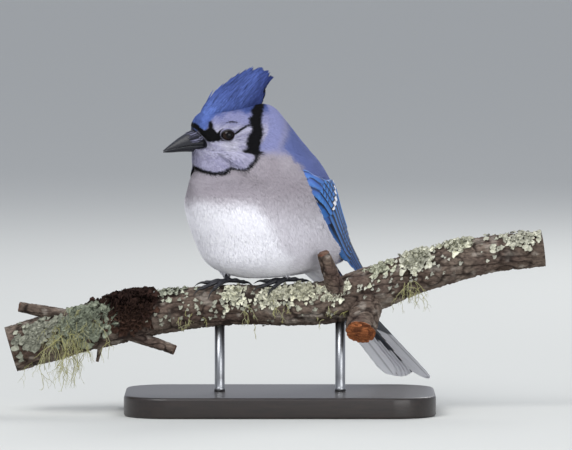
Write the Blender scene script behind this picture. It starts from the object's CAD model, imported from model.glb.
"""The looks of a life-size blue jay on a cut length of branch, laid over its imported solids.

All shape maths is in millimetres, in the part's frame, and becomes metres when a mesh is written. The
bird's own frame has f forward, l to its left and z up from the top of the branch between its feet.
"""

import logging
import math
from collections.abc import Callable
from dataclasses import dataclass, field
from enum import Enum

import bmesh
import bpy
import numpy as np
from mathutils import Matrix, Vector, kdtree

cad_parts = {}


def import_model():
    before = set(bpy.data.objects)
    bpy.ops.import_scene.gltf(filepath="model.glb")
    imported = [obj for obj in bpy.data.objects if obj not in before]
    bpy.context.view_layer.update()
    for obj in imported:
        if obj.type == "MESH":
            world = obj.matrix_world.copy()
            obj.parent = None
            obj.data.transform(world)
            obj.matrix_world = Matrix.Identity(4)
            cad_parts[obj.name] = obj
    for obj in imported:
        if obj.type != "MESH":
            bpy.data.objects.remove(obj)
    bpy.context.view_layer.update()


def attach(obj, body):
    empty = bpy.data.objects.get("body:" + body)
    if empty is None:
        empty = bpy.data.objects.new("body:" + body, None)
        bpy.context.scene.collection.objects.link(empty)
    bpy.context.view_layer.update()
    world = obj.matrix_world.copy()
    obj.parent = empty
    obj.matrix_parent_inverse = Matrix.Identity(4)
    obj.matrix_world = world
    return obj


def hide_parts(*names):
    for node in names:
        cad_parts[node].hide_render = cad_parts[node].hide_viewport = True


LOG = logging.getLogger("bluejay")
MM = 0.001
PHOTO = (572, 450)
SEED = 20

# Where the bird stands in the part's frame, and how it is turned
BRANCH_TOP = 75.0
BIRD_X = -21.5
HEADING = math.radians(45)
HEAD_TURN = math.radians(35)
# How far a mark on the turned head lies back, for each millimetre that it is to the side
SIDE_SLIP = 0.177
# How many rings' length a feather may run on past the last ring, over the tail
RUN_ON = 0.8
ROD_X = 35.0

# Rings of plumage from the bill to the tail root: back (f, z), belly (f, z), half width, bow (f, z) and
# share of the head's turn
RINGS = np.array(
    [
        [30.6, 91.2, 29.6, 79.0, 4.6, 0, 0, 1],
        [27.5, 97.0, 29.3, 75.6, 8.2, -1, 0, 1],
        [20.5, 101.2, 29.0, 73.6, 10.8, -4, -1, 1],
        [11, 103.2, 28.7, 71.6, 12.8, -8, -2, 1],
        [-2, 104, 28.4, 69.4, 15, -11, -3, 1],
        [-11, 104, 28.5, 66.1, 17.4, -13, -5, 0.95],
        [-18, 102, 30.2, 63.4, 20.8, -15, -7, 0.8],
        [-24, 95.5, 32.7, 60.2, 25.2, -15, -8, 0.57],
        [-31.5, 86.5, 34.6, 56.4, 30, -13, -6, 0.33],
        [-41.5, 76.5, 35.6, 51.8, 34.6, -9, -4, 0.13],
        [-51.5, 64.5, 35.2, 45.6, 38, -4, -1.4, 0],
        [-58.5, 53, 31.5, 37, 39.6, 0, 0, 0],
        [-62.5, 43.5, 25.5, 23.5, 39.4, 0, 0, 0],
        [-64.5, 36, 17, 10, 37, 0, -1, 0],
        [-65.5, 30, 0, 3.2, 33, 0, -2, 0],
        [-65.5, 25, -20, 2.6, 27, 0, -2, 0],
        [-64, 19.5, -40, 3.6, 20, 0, -1, 0],
        [-61.5, 14.5, -54.5, 6.1, 12, 0, 0, 0],
    ]
)

# The barrel that the folded wings lie on
BARREL = {"f": -14.0, "z": 47.0, "fall": math.radians(40.8), "start": -40.0, "step": 19.0}
BARREL_RADII = np.array([23, 33.5, 38.6, 37, 31, 25.5, 21.5, 19])
WING_FROM, WING_TO = -38.0, 88.0
WING_BACK_EDGE = np.radians([84, 46, 30, 24, 26, 42, 56, 62])
WING_BELLY_EDGE = np.radians([104, 106, 100, 92, 88, 82, 76, 70])
WING_CORE = np.array([0.8, 1.7, 2.5, 2.4, 1.7, 1, 0.6, 0.5])
# Where the mantle's feathers end and the flank's begin over the wing: places along the barrel, and degrees
# round it
MANTLE_EDGE = ([-28, -20, -13, -6, 2, 6, 12, 20, 27, 35], [58, 64, 67, 66, 61, 58, 48, 34, 20, -10])
FLANK_EDGE = ([-28, -20.7, -13, -6.5, 1.8, 11.5, 24, 57], [58, 64, 70, 77, 82, 86, 85.5, 87])

TAIL = {"f": -43.6, "z": 22.4, "fall": math.radians(40), "start": 19.12}
TAIL_PAIRS = [(129, 2.6), (130, 4.9), (131, 7.4), (131, 10.0), (130, 12.4), (128, 14.6)]

CREST_FRONT = np.array(
    [[26.5, 95], [22.5, 103], [16.5, 109], [8.5, 114.4], [1, 118.8], [-6, 121.4], [-12, 120]]
)
CREST_REAR = np.array([[24, 94], [14, 96], [5, 96], [-5, 98], [-10.6, 103], [-12.2, 110], [-14.2, 118]])
# The crest's ragged rear edge: heights, and how far forward it is at each
CREST_LIMIT = ([100, 106, 113, 116.6, 119.5, 123.5, 125.9], [-11.4, -11.8, -13, -15.3, -17.4, -14, -8.8])
CREST_HALF = np.array([4.4, 7, 8.2, 7.6, 6.2, 4.6, 2.6])

EYE = {"f": 10.8, "z": 86.3, "half": 10.9, "radius": 4.0}
BILL = np.array(  # f, culmen, mouth, chin, half width
    [
        [24, 90, 80.2, 76.6, 5.6],
        [28, 89.6, 80.2, 76.4, 5.0],
        [31, 88.6, 80, 76.3, 4.6],
        [34, 86.8, 79.6, 76.3, 4.0],
        [37.5, 84.6, 79.0, 76.2, 3.3],
        [41, 82, 78.2, 76.0, 2.5],
        [44, 79.6, 77.4, 75.9, 1.6],
        [46.8, 77.2, 76.6, 76.0, 0.4],
    ]
)
# Where the plumage stops at the bill: heights, and how far forward it reaches at each
FACE_LINE = (
    [74.6, 75.6, 77.6, 78.6, 79.6, 82, 85, 88, 90.5, 93], [60, 33, 29.5, 24.5, 21.5, 22, 24.5, 27.5, 30, 34]
)
BRANCH = np.array(  # x, y, z, radius
    [
        [-156, -4, 36.5, 14],
        [-127.6, -3, 44.8, 14.2],
        [-98.6, -1, 52.2, 14.4],
        [-69.6, 0, 57.8, 13],
        [-37, 0, 61.8, 12.4],
        [-5.8, 0, 62.2, 12.5],
        [26, 0, 63.6, 13.2],
        [52, 1, 71, 13.6],
        [81, 3, 81.2, 12.6],
        [116, 5, 90, 11.7],
        [153, 6, 94.7, 11.2],
    ]
)


# Curves, frames and noise


def along(rows: np.ndarray, place: np.ndarray) -> np.ndarray:
    """Runs a smooth curve through evenly spaced rows.

    Args:
        rows: the values to pass through, one row for each whole step.
        place: where to read it, in steps.
    Returns:
        The values there, by the Catmull-Rom cubic of the four nearest rows.
    """
    rows = np.asarray(rows, float)
    last = len(rows) - 1
    t = np.clip(np.asarray(place, float), 0, last)
    i = np.minimum(t.astype(int), last - 1)
    w = (t - i)[..., None] if rows.ndim > 1 else t - i
    p0, p1, p2, p3 = (rows[np.clip(i + k, 0, last)] for k in (-1, 0, 1, 2))
    return 0.5 * (
        2 * p1 + (p2 - p0) * w + (2 * p0 - 5 * p1 + 4 * p2 - p3) * w**2 + (3 * p1 - p0 - 3 * p2 + p3) * w**3
    )


def smooth(low: float, high: float, x: np.ndarray) -> np.ndarray:
    """Eases from 0 at low to 1 at high.

    Args:
        low: where it is 0.
        high: where it is 1; it may be less than low.
        x: the values.
    Returns:
        3t² - 2t³ of the share of the way from low to high.
    """
    t = np.clip((x - low) / (high - low), 0, 1)
    return t * t * (3 - 2 * t)


def noise(p: np.ndarray, size: float, seed: int = 0) -> np.ndarray:
    """Smooth lattice noise in space.

    Args:
        p: points, the last axis x, y, z.
        size: the lattice spacing, in the points' units.
        seed: picks another pattern.
    Returns:
        Values between -1 and 1, by trilinear blends of hashed lattice corners.
    """
    q = p / size + 137.0
    i = np.floor(q).astype(np.int64)
    w = q - i
    w = w * w * (3 - 2 * w)
    total = np.zeros(p.shape[:-1])
    for dx in (0, 1):
        for dy in (0, 1):
            for dz in (0, 1):
                h = (
                    (i[..., 0] + dx) * 374761393 + (i[..., 1] + dy) * 668265263
                    + (i[..., 2] + dz) * 2147483647
                )
                h = (h + seed * 1274126177) & 0x7FFFFFFF
                h = ((h ^ (h >> 13)) * 1274126177) & 0x7FFFFFFF
                value = ((h ^ (h >> 16)) & 0xFFFF) / 32767.5 - 1
                part = np.where(dx, w[..., 0], 1 - w[..., 0]) * np.where(dy, w[..., 1], 1 - w[..., 1])
                total += value * part * np.where(dz, w[..., 2], 1 - w[..., 2])
    return total


def bird_point(f: np.ndarray, l: np.ndarray, z: np.ndarray) -> np.ndarray:
    """Places points of the bird's frame.

    Args:
        f: forward.
        l: to the bird's left.
        z: up from the branch.
    Returns:
        Points of the part's frame, after a turn about the vertical by the heading.
    """
    f, l, z = np.broadcast_arrays(f, l, z)
    x = BIRD_X - math.sin(HEADING) * f + math.cos(HEADING) * l
    y = -math.cos(HEADING) * f - math.sin(HEADING) * l
    return np.stack([x, y, BRANCH_TOP + z], -1)


def turned_point(f: np.ndarray, l: np.ndarray, z: np.ndarray, share: np.ndarray | float = 1.0) -> np.ndarray:
    """Places points of the unturned head.

    Args:
        f: forward along the bill.
        l: to the head's left.
        z: up from the branch.
        share: how much of the head's turn a point takes.
    Returns:
        Points of the part's frame.
    """
    turn = HEAD_TURN * np.asarray(share)
    return bird_point(f * np.cos(turn) + l * np.sin(turn), l * np.cos(turn) - f * np.sin(turn), z)


def to_bird(p: np.ndarray) -> tuple[np.ndarray, np.ndarray, np.ndarray]:
    """Turns points of the part's frame back into the bird's.

    Args:
        p: points, the last axis x, y, z.
    Returns:
        f, l and z.
    """
    x, y = p[..., 0] - BIRD_X, p[..., 1]
    f = -math.sin(HEADING) * x - math.cos(HEADING) * y
    return f, math.cos(HEADING) * x - math.sin(HEADING) * y, p[..., 2] - BRANCH_TOP


def barrel_radius(a: np.ndarray) -> np.ndarray:
    """Radius of the wings' barrel at a place along it."""
    return along(BARREL_RADII, (np.asarray(a) - BARREL["start"]) / BARREL["step"])


def wing_point(side: int, a: np.ndarray, phi: np.ndarray, height: np.ndarray) -> np.ndarray:
    """Places points on the wings' barrel.

    Args:
        side: 1 for the left wing, -1 for the right.
        a: along the barrel from the bend of the wing.
        phi: round it from the back.
        height: above it.
    Returns:
        Points of the part's frame.
    """
    r = barrel_radius(a) + height
    back = r * np.cos(phi)
    f = BARREL["f"] - a * math.cos(BARREL["fall"]) - back * math.sin(BARREL["fall"])
    z = BARREL["z"] - a * math.sin(BARREL["fall"]) + back * math.cos(BARREL["fall"])
    return bird_point(f, side * r * np.sin(phi), z)


def wing_share(a: np.ndarray) -> np.ndarray:
    """Place in the wing's tables of a place along the barrel."""
    return (np.asarray(a) - WING_FROM) / (WING_TO - WING_FROM) * (len(WING_CORE) - 1)


def tail_point(t: np.ndarray, across: np.ndarray, up: np.ndarray) -> np.ndarray:
    """Places points of the tail, t from its root, across to the left and up off its upper side."""
    f = TAIL["f"] - t * math.cos(TAIL["fall"]) - up * math.sin(TAIL["fall"])
    return bird_point(f, across, TAIL["z"] - t * math.sin(TAIL["fall"]) + up * math.cos(TAIL["fall"]))


def barrel_place(p: np.ndarray) -> tuple[np.ndarray, ...]:
    """Places points of the part's frame on the wings' barrel.

    Args:
        p: the points.
    Returns:
        a along the barrel, phi round it from the back, the radius, and which side each is on.
    """
    f, l, z = to_bird(p)
    df, dz = f - BARREL["f"], z - BARREL["z"]
    a = -df * math.cos(BARREL["fall"]) - dz * math.sin(BARREL["fall"])
    back = -df * math.sin(BARREL["fall"]) + dz * math.cos(BARREL["fall"])
    return a, np.arctan2(np.abs(l), back), np.hypot(l, back), np.where(l < 0, -1, 1)


def wing_open(a: np.ndarray, phi: np.ndarray) -> np.ndarray:
    """How much of a folded wing shows between the mantle's feathers and the flank's.

    Args:
        a: along the barrel.
        phi: round it.
    Returns:
        1 where it is bare, 0 where body feathers lie over it.
    """
    high = np.radians(np.interp(a, *MANTLE_EDGE))
    low = np.radians(np.interp(a, *FLANK_EDGE))
    return smooth(-0.05, 0.05, phi - high) * smooth(0.05, -0.05, phi - low) * smooth(-17, -10, a)


def settle(p: np.ndarray, sink: bool) -> tuple[np.ndarray, np.ndarray]:
    """Fits points of the body's surface round the folded wings.

    Args:
        p: points of the part's frame.
        sink: whether to pull them in where a wing is bare.
    Returns:
        The points, raised over the wing's hidden parts, and how bare the wing is at each.
    """
    a, phi, r, side = barrel_place(p)
    share = wing_share(a)
    low, high = along(WING_BACK_EDGE, share), along(WING_BELLY_EDGE, share)
    near = (
        smooth(-0.4, 0.05, phi - low) * smooth(0.3, -0.05, phi - high) * smooth(-50, -30, a)
        * smooth(78, 50, a)
    )
    inside = (
        smooth(-0.02, 0.07, phi - low) * smooth(0.02, -0.07, phi - high) * smooth(WING_TO, WING_TO - 4, a)
    )
    goal = r + (np.maximum(r, barrel_radius(a) + 2.5) - r) * near
    bare = inside * wing_open(a, phi)
    if sink:
        goal = goal + (np.minimum(goal, barrel_radius(a) - 0.7) - goal) * bare
    return wing_point(side, a, phi, goal - barrel_radius(a)), bare


# Colours and markings


def linear(colour: str) -> np.ndarray:
    """Turns an sRGB hex colour into linear RGB.

    Args:
        colour: such as "#4a5fa8".
    Returns:
        Three linear values.
    """
    srgb = np.array([int(colour[i : i + 2], 16) for i in (1, 3, 5)]) / 255
    return np.where(srgb <= 0.04045, srgb / 12.92, ((srgb + 0.055) / 1.055) ** 2.4)


class Tint(Enum):
    """Named plumage colours, as sRGB."""

    CREST = "#485994"
    BROW = "#647cc2"
    CREST_DARK = "#2c376c"
    BLACK = "#050508"
    FACE = "#b9b7cb"
    FACE_SHADE = "#8987a4"
    BROW_PALE = "#8285ae"
    NAPE = "#8488b2"
    MANTLE = "#5f6a9c"
    FLANK = "#dad7de"
    BREAST = "#989198"
    BREAST_PALE = "#aea8af"
    GAPE = "#24242c"
    WHITE = "#f3f2f8"
    WING = "#2c62ac"
    WING_EDGE = "#5c96da"
    COVERT = "#4a62a8"
    QUILL = "#23262e"
    TAIL_UNDER = "#6d707c"
    RUMP = "#6b7ab4"

    @property
    def rgb(self) -> np.ndarray:
        """Its linear RGB."""
        return linear(self.value)


def blend(under: np.ndarray, over: np.ndarray, share: np.ndarray) -> np.ndarray:
    """Mixes one colour over another by a share for each point."""
    return under + (over - under) * np.asarray(share)[..., None]


def near_line(
    f: np.ndarray, z: np.ndarray, line: list[tuple[float, float]], half: np.ndarray | float
) -> np.ndarray:
    """How much a point lies on a painted line.

    Args:
        f: forward.
        z: up.
        line: its corners.
        half: half its width.
    Returns:
        1 on the line, easing to 0 just past its edge.
    """
    best = np.full(np.shape(f), 1e9)
    for (f0, z0), (f1, z1) in zip(line, line[1:]):
        t = np.clip(((f - f0) * (f1 - f0) + (z - z0) * (z1 - z0)) / ((f1 - f0) ** 2 + (z1 - z0) ** 2), 0, 1)
        best = np.minimum(best, np.hypot(f - f0 - t * (f1 - f0), z - z0 - t * (z1 - z0)))
    return smooth(1.25, 0.75, best / half)


def in_shape(f: np.ndarray, z: np.ndarray, shape: list[tuple[float, float]], soft: float = 0.7) -> np.ndarray:
    """How much a point lies in a painted patch.

    Args:
        f: forward.
        z: up.
        shape: the patch's corners in order.
        soft: how wide its edge is.
    Returns:
        1 well inside and 0 well outside.
    """
    inside = np.zeros(np.shape(f), bool)
    edge = np.full(np.shape(f), 1e9)
    for (f0, z0), (f1, z1) in zip(shape, shape[1:] + shape[:1]):
        crosses = (z0 > z) != (z1 > z)
        rise = z1 - z0 if z1 != z0 else 1e-9
        inside ^= crosses & (f < (f1 - f0) * (z - z0) / rise + f0)
        t = np.clip(((f - f0) * (f1 - f0) + (z - z0) * (z1 - z0)) / ((f1 - f0) ** 2 + (z1 - z0) ** 2), 0, 1)
        edge = np.minimum(edge, np.hypot(f - f0 - t * (f1 - f0), z - z0 - t * (z1 - z0)))
    return smooth(-soft, soft, np.where(inside, edge, -edge))


COLLAR = [
    (-4.4, 101), (-12.5, 108), (-12.4, 102.4), (-11, 95.7), (-11.9, 87), (-10, 80.8), (-8.3, 76),
    (-4.4, 73.2), (-1.6, 74.4),
    (1, 76.9), (-2.4, 79.2), (-2, 81.3), (-3.1, 86), (-5.4, 89.9), (-4.4, 92.3), (-3.4, 95.7), (-5.2, 98.1),
]
NECKLACE = [(-3, 74), (1.9, 70.9), (7.8, 67), (13.7, 64.6), (18.6, 64), (23.4, 65), (26.4, 66.2), (30.5, 68)]
EYE_LINE = [(4.5, 87), (1, 89.4), (-4.4, 92.6)]
BROW_STREAK = [(9.3, 93.6), (6, 94.0), (2.9, 93.6)]
LORE = [
    (31, 93.6), (28.4, 93.4), (25.8, 91.8), (22.6, 89.2), (20.4, 90.2), (19.8, 94.4), (18, 94.6), (16.9, 90),
    (14, 86.6),
    (12.6, 85.2), (13.4, 82.8), (17.5, 82.2), (21, 82.4), (23.5, 85), (27, 89), (31, 91.2),
]
CREST_EDGE = [
    (40, 88), (22, 88.9), (20, 92), (18.4, 95.4), (16, 98.2), (10, 100.2), (3, 102), (-3, 99.2), (-6, 101),
    (-30, 101)
]


def body_markings(p: np.ndarray, f: np.ndarray, z: np.ndarray, s: np.ndarray) -> np.ndarray:
    """Colours the plumage of head and body.

    Args:
        p: points of the part's frame.
        f: forward in the unturned head's plane.
        z: up from the branch.
        s: rings from the bill.
    Returns:
        Linear RGB for each point, from borders read off the bird's pattern and broken by noise.
    """
    rough = noise(p, 2.2, 5)
    broad = noise(p, 11, 9)
    bf, _, _ = to_bird(p)
    a, phi, _, _ = barrel_place(p)
    colour = np.broadcast_to(Tint.BREAST.rgb, p.shape).copy()
    colour = blend(colour, Tint.BREAST_PALE.rgb, 0.3 + 0.3 * broad)
    colour = blend(colour, Tint.FLANK.rgb, 0.9 * smooth(56, 28, z + 2 * broad) * smooth(7, 9, s))
    # white belly, its upper border falling towards the tail, and white under the tail
    border = np.interp(bf, [-26, -12, 0, 10, 18, 26], [7, 8, 20, 34, 44, 46])
    colour = blend(
        colour, Tint.WHITE.rgb, smooth(6, -6, z - border - 1.5 * rough - 2.5 * broad) * smooth(5.5, 8, s)
    )
    # back: lavender nape, violet-blue mantle, paler blue rump
    edge = (
        np.radians(np.interp(a, [-36, -28, -20, -13, -6, 2, 12], [50, 58, 64, 68, 72, 80, 83])) + 0.05 * rough
    )
    back = (
        smooth(5.9, 6.6, s) * smooth(0.08, -0.08, phi - edge)
        * smooth(-35.5, -24.5, a + 0.06 * (np.degrees(phi) - 45) + rough)
    )
    colour = blend(colour, Tint.MANTLE.rgb, back)
    colour = blend(colour, Tint.RUMP.rgb, back * smooth(12.5, 15, s))
    nape = (
        smooth(4.6, 5.2, s) * (1 - back) * smooth(86, 62, np.degrees(phi) + 2.5 * rough) * smooth(-20, -30, a)
        * smooth(70, 80, z + rough)
    )
    colour = blend(colour, Tint.NAPE.rgb, nape)
    # head
    lace = np.interp(f, *np.array(NECKLACE).T)
    bib = np.interp(f, [0, 4, 11, 18, 24], [5.15, 5.4, 6.0, 6.6, 6.9])
    head = smooth(bib + 0.1, bib - 0.1, s) * np.where(f > 1, smooth(-0.5, 0.5, z - lace), 1)
    turn = np.arctan2(z - 81, f - 27)
    streak = noise(np.stack([turn * 30, np.hypot(f - 27, z - 81) * 0.2, np.zeros_like(z)], -1), 1.0, 12)
    face = blend(
        np.broadcast_to(Tint.FACE.rgb, p.shape), Tint.FACE_SHADE.rgb, np.clip(0.3 + 0.6 * streak, 0, 1)
    )
    face = blend(face, Tint.BROW_PALE.rgb, smooth(89, 95, z) * 0.85)
    face = blend(
        face, Tint.WHITE.rgb, 0.3 * in_shape(f, z, [(3, 83), (10, 82.8), (14, 80.5), (9, 77), (2, 78)], 2.0)
    )
    face = blend(face, Tint.FACE_SHADE.rgb, 0.5 * smooth(77, 71, z))
    colour = blend(colour, face, head)
    above = (
        z - np.interp(-f, [-a for a, _ in CREST_EDGE], [b for _, b in CREST_EDGE]) + 0.7 * rough
        + 0.8 * streak
    )
    blue = smooth(0, 1, (above + np.interp(f, [14, 20], [3.6, 0.8])) / np.interp(f, [14, 20], [4.6, 1.6]))
    crown = blend(Tint.CREST.rgb, Tint.BROW.rgb, smooth(8, 24, f) * smooth(108, 94, z))
    crown = blend(crown, Tint.CREST_DARK.rgb, 0.15 + 0.25 * rough)
    colour = blend(colour, crown, blue * smooth(5.35, 5.2, s))
    wobble = 0.55 * noise(p, 1.1, 3)
    colour = blend(colour, Tint.BLACK.rgb, in_shape(f + wobble, z + wobble, COLLAR, 0.8))
    colour = blend(
        colour, Tint.BLACK.rgb,
        near_line(f, z + 0.6 * wobble, NECKLACE, 1.1) * smooth(bib + 0.45, bib + 0.2, s)
    )
    colour = blend(colour, Tint.BLACK.rgb, near_line(f, z + 0.3 * wobble, EYE_LINE, 0.62))
    colour = blend(colour, Tint.BLACK.rgb, 0.85 * near_line(f, z + 0.4 * wobble, BROW_STREAK, 0.4))
    colour = blend(colour, Tint.BLACK.rgb, in_shape(f, z + 0.4 * wobble, LORE, 0.45) * head)
    gape = smooth(-0.6, 0.0, f - np.interp(z, *FACE_LINE)) * smooth(77.8, 78.8, z) * smooth(3.2, 2.8, s)
    colour = blend(colour, Tint.GAPE.rgb, gape)
    ring = np.hypot((f - EYE["f"]) / 1.18, z - EYE["z"])
    return blend(colour, Tint.BLACK.rgb, smooth(3.75, 3.35, ring) * head)


# Meshes and materials


@dataclass(frozen=True)
class Finish:
    """What a surface is made of.

    Attributes:
        name: of the real material.
        colour: sRGB hex, unused where the mesh carries its own colours.
        roughness: of the surface.
        bump: height of the fine relief, in millimetres.
        grain: size of that relief, in millimetres.
        coat: strength of a wet or waxed layer.
        sheen: strength of the soft edge light of plumage.
        metallic: 1 for metal.
        specular: level of its plain shine, 0.5 for most things.
        painted: whether the mesh carries its colours.
    """

    name: str
    colour: str = "#808080"
    roughness: float = 0.7
    bump: float = 0.05
    grain: float = 1.0
    coat: float = 0.0
    sheen: float = 0.0
    metallic: float = 0.0
    specular: float = 0.5
    painted: bool = False


def add_node(tree: bpy.types.NodeTree, kind: str, inputs: dict | None = None, **settings) -> bpy.types.Node:
    """Adds one shader node.

    Args:
        tree: the node tree.
        kind: the node's type name.
        inputs: values or sockets to feed its inputs, by name or number.
        settings: attributes to set on the node.
    Returns:
        The node.
    """
    node = tree.nodes.new(kind)
    for name, value in settings.items():
        setattr(node, name, value)
    for name, value in (inputs or {}).items():
        if isinstance(value, bpy.types.NodeSocket):
            tree.links.new(value, node.inputs[name])
        else:
            node.inputs[name].default_value = value
    return node


def rgba(colour: str | np.ndarray) -> tuple[float, ...]:
    """Linear colour with an alpha of 1."""
    return (*(linear(colour) if isinstance(colour, str) else colour), 1.0)


class Shader:
    """Builds node materials from finishes."""

    def __init__(self, finish: Finish) -> None:
        """Starts a material with its principled shader.

        Args:
            finish: what it is made of.
        """
        self.finish = finish
        self.material = bpy.data.materials.new(finish.name)
        self.material.use_nodes = True
        self.tree = self.material.node_tree
        self.main = self.tree.nodes["Principled BSDF"]
        self.main.inputs["Roughness"].default_value = finish.roughness
        self.main.inputs["Metallic"].default_value = finish.metallic
        self.main.inputs["Specular IOR Level"].default_value = finish.specular
        self.main.inputs["Coat Weight"].default_value = finish.coat
        self.main.inputs["Coat Roughness"].default_value = 0.12
        self.main.inputs["Sheen Weight"].default_value = finish.sheen
        self.main.inputs["Sheen Roughness"].default_value = 0.45
        self.base: bpy.types.NodeSocket | None = None

    def colours(self) -> "Shader":
        """Takes the base colour from the mesh, or the finish."""
        if self.finish.painted:
            self.base = add_node(self.tree, "ShaderNodeAttribute", attribute_name="Col").outputs["Color"]
        else:
            self.base = None
            self.main.inputs["Base Color"].default_value = rgba(self.finish.colour)
        return self

    def mottle(
        self, size: float, strength: float, stretch: tuple[float, float, float] = (1, 1, 1)
    ) -> "Shader":
        """Varies the base colour's brightness.

        Args:
            size: of the patches, in millimetres.
            strength: how far it goes each way.
            stretch: of the pattern along x, y and z.
        Returns:
            This shader.
        """
        place = add_node(self.tree, "ShaderNodeTexCoord").outputs["Object"]
        place = add_node(
            self.tree, "ShaderNodeMapping", {"Vector": place, "Scale": stretch}
        ).outputs["Vector"]
        grain = add_node(
            self.tree, "ShaderNodeTexNoise", {"Vector": place, "Scale": 1000 / size, "Detail": 5.0}
        )
        value = add_node(
            self.tree,
            "ShaderNodeMapRange",
            {
                "Value": grain.outputs["Fac"], "From Min": 0.3, "From Max": 0.7, "To Min": 1 - strength,
                "To Max": 1 + strength
            },
        )
        colour = {"Color": self.base} if self.base else {"Color": rgba(self.finish.colour)}
        mixed = add_node(self.tree, "ShaderNodeHueSaturation", {**colour, "Value": value.outputs["Result"]})
        self.base = mixed.outputs["Color"]
        return self

    def relief(self, stretch: tuple[float, float, float] = (1, 1, 1), detail: float = 4.0) -> "Shader":
        """Adds the finish's fine relief as bump, from noise of its grain's size."""
        place = add_node(self.tree, "ShaderNodeTexCoord").outputs["Object"]
        place = add_node(
            self.tree, "ShaderNodeMapping", {"Vector": place, "Scale": stretch}
        ).outputs["Vector"]
        grain = add_node(
            self.tree, "ShaderNodeTexNoise",
            {"Vector": place, "Scale": 1000 / self.finish.grain, "Detail": detail}
        )
        self.bump(grain.outputs["Fac"])
        return self

    def barbs(self, spacing: float = 0.42) -> "Shader":
        """Adds the fine slanting barbs of a vane, along its own map in millimetres."""
        uv = add_node(self.tree, "ShaderNodeUVMap", uv_map="Vane").outputs["UV"]
        parts = add_node(self.tree, "ShaderNodeSeparateXYZ", {"Vector": uv})
        side = add_node(self.tree, "ShaderNodeMath", {0: parts.outputs["X"]}, operation="ABSOLUTE")
        slant = add_node(
            self.tree, "ShaderNodeMath", {0: side.outputs[0], 1: -1.1, 2: parts.outputs["Y"]},
            operation="MULTIPLY_ADD"
        )
        place = add_node(self.tree, "ShaderNodeCombineXYZ", {"X": slant.outputs[0]})
        wave = add_node(
            self.tree, "ShaderNodeTexNoise", {"Vector": place.outputs[0], "Scale": 1 / spacing, "Detail": 2.0}
        )
        self.bump(wave.outputs["Fac"])
        return self

    def bump(self, height: bpy.types.NodeSocket) -> None:
        """Feeds a height to the shader's normal, over any bump it has."""
        normal = self.main.inputs["Normal"]
        inputs = {"Height": height, "Distance": self.finish.bump * MM}
        if normal.is_linked:
            inputs["Normal"] = normal.links[0].from_socket
        node = add_node(self.tree, "ShaderNodeBump", inputs)
        self.tree.links.new(node.outputs["Normal"], normal)

    def done(self) -> bpy.types.Material:
        """Links the base colour and hands the material over."""
        if self.base:
            self.tree.links.new(self.base, self.main.inputs["Base Color"])
        return self.material


@dataclass
class Batch:
    """Points and faces gathered for one mesh.

    Attributes:
        points: arrays of points in millimetres.
        faces: arrays of faces, each of three or four corners.
        colours: arrays of linear RGB, one for each point.
        maps: arrays of (u, v) for each point, for each named map.
    """

    points: list[np.ndarray] = field(default_factory=list)
    faces: list[np.ndarray] = field(default_factory=list)
    colours: list[np.ndarray] = field(default_factory=list)
    maps: dict[str, list[np.ndarray]] = field(default_factory=dict)
    count: int = 0

    def add(
        self, points: np.ndarray, faces: np.ndarray, colours: np.ndarray,
        maps: dict[str, np.ndarray] | None = None
    ) -> None:
        """Adds a body of points.

        Args:
            points: of any shape ending in 3.
            faces: corner numbers into the points.
            colours: linear RGB of the points, or one for all.
            maps: (u, v) of the points for each named map.
        """
        flat = points.reshape(-1, 3)
        self.points.append(flat)
        self.faces.append(faces + self.count)
        self.colours.append(np.broadcast_to(colours, points.shape).reshape(-1, 3))
        for name, uv in (maps or {}).items():
            self.maps.setdefault(name, []).append(uv.reshape(-1, 2))
        self.count += len(flat)

    def build(
        self, name: str, material: bpy.types.Material, replaces: tuple[str, ...], slot: str,
        flat: bool = False
    ) -> bpy.types.Object:
        """Writes the mesh and gives it to the frame.

        Args:
            name: of the piece.
            material: its look.
            replaces: the CAD nodes that it stands for.
            slot: the record's material slot.
            flat: whether its faces stay flat shaded.
        Returns:
            The object.
        """
        points = np.concatenate(self.points) * MM
        corners = [f for f in self.faces if len(f)]
        sizes = np.concatenate([np.full(len(f), f.shape[1]) for f in corners])
        loops = np.concatenate([f.ravel() for f in corners]).astype(np.int32)
        mesh = bpy.data.meshes.new(name)
        mesh.vertices.add(len(points))
        mesh.vertices.foreach_set("co", points.ravel())
        mesh.loops.add(len(loops))
        mesh.loops.foreach_set("vertex_index", loops)
        mesh.polygons.add(len(sizes))
        mesh.polygons.foreach_set("loop_start", np.concatenate([[0], np.cumsum(sizes)[:-1]]).astype(np.int32))
        mesh.polygons.foreach_set("use_smooth", np.full(len(sizes), not flat))
        paint = mesh.color_attributes.new("Col", "FLOAT_COLOR", "POINT")
        rgb = np.concatenate(self.colours)
        paint.data.foreach_set(
            "color", np.concatenate([rgb, np.ones((len(rgb), 1))], 1).astype(np.float32).ravel()
        )
        for key, parts in self.maps.items():
            uv = np.concatenate(parts)[loops]
            mesh.uv_layers.new(name=key).data.foreach_set("uv", uv.astype(np.float32).ravel())
        mesh.update(calc_edges=True)
        mesh.validate()
        mesh.materials.append(material)
        piece = bpy.data.objects.new(name, mesh)
        bpy.context.scene.collection.objects.link(piece)
        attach(piece, "root")
        if replaces:
            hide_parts(*replaces)
        LOG.info("%s: %d points, %d faces", name, len(points), len(sizes))
        return piece


def grid_faces(rows: int, cols: int, close: bool = False) -> np.ndarray:
    """Quads over a grid of points.

    Args:
        rows: points one way.
        cols: points the other way.
        close: whether the last column joins the first.
    Returns:
        Faces as corner numbers, wound so that row × column points out.
    """
    i, j = np.meshgrid(np.arange(rows - 1), np.arange(cols if close else cols - 1), indexing="ij")
    k = (j + 1) % cols
    return np.stack([i * cols + j, (i + 1) * cols + j, (i + 1) * cols + k, i * cols + k], -1).reshape(-1, 4)


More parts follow.
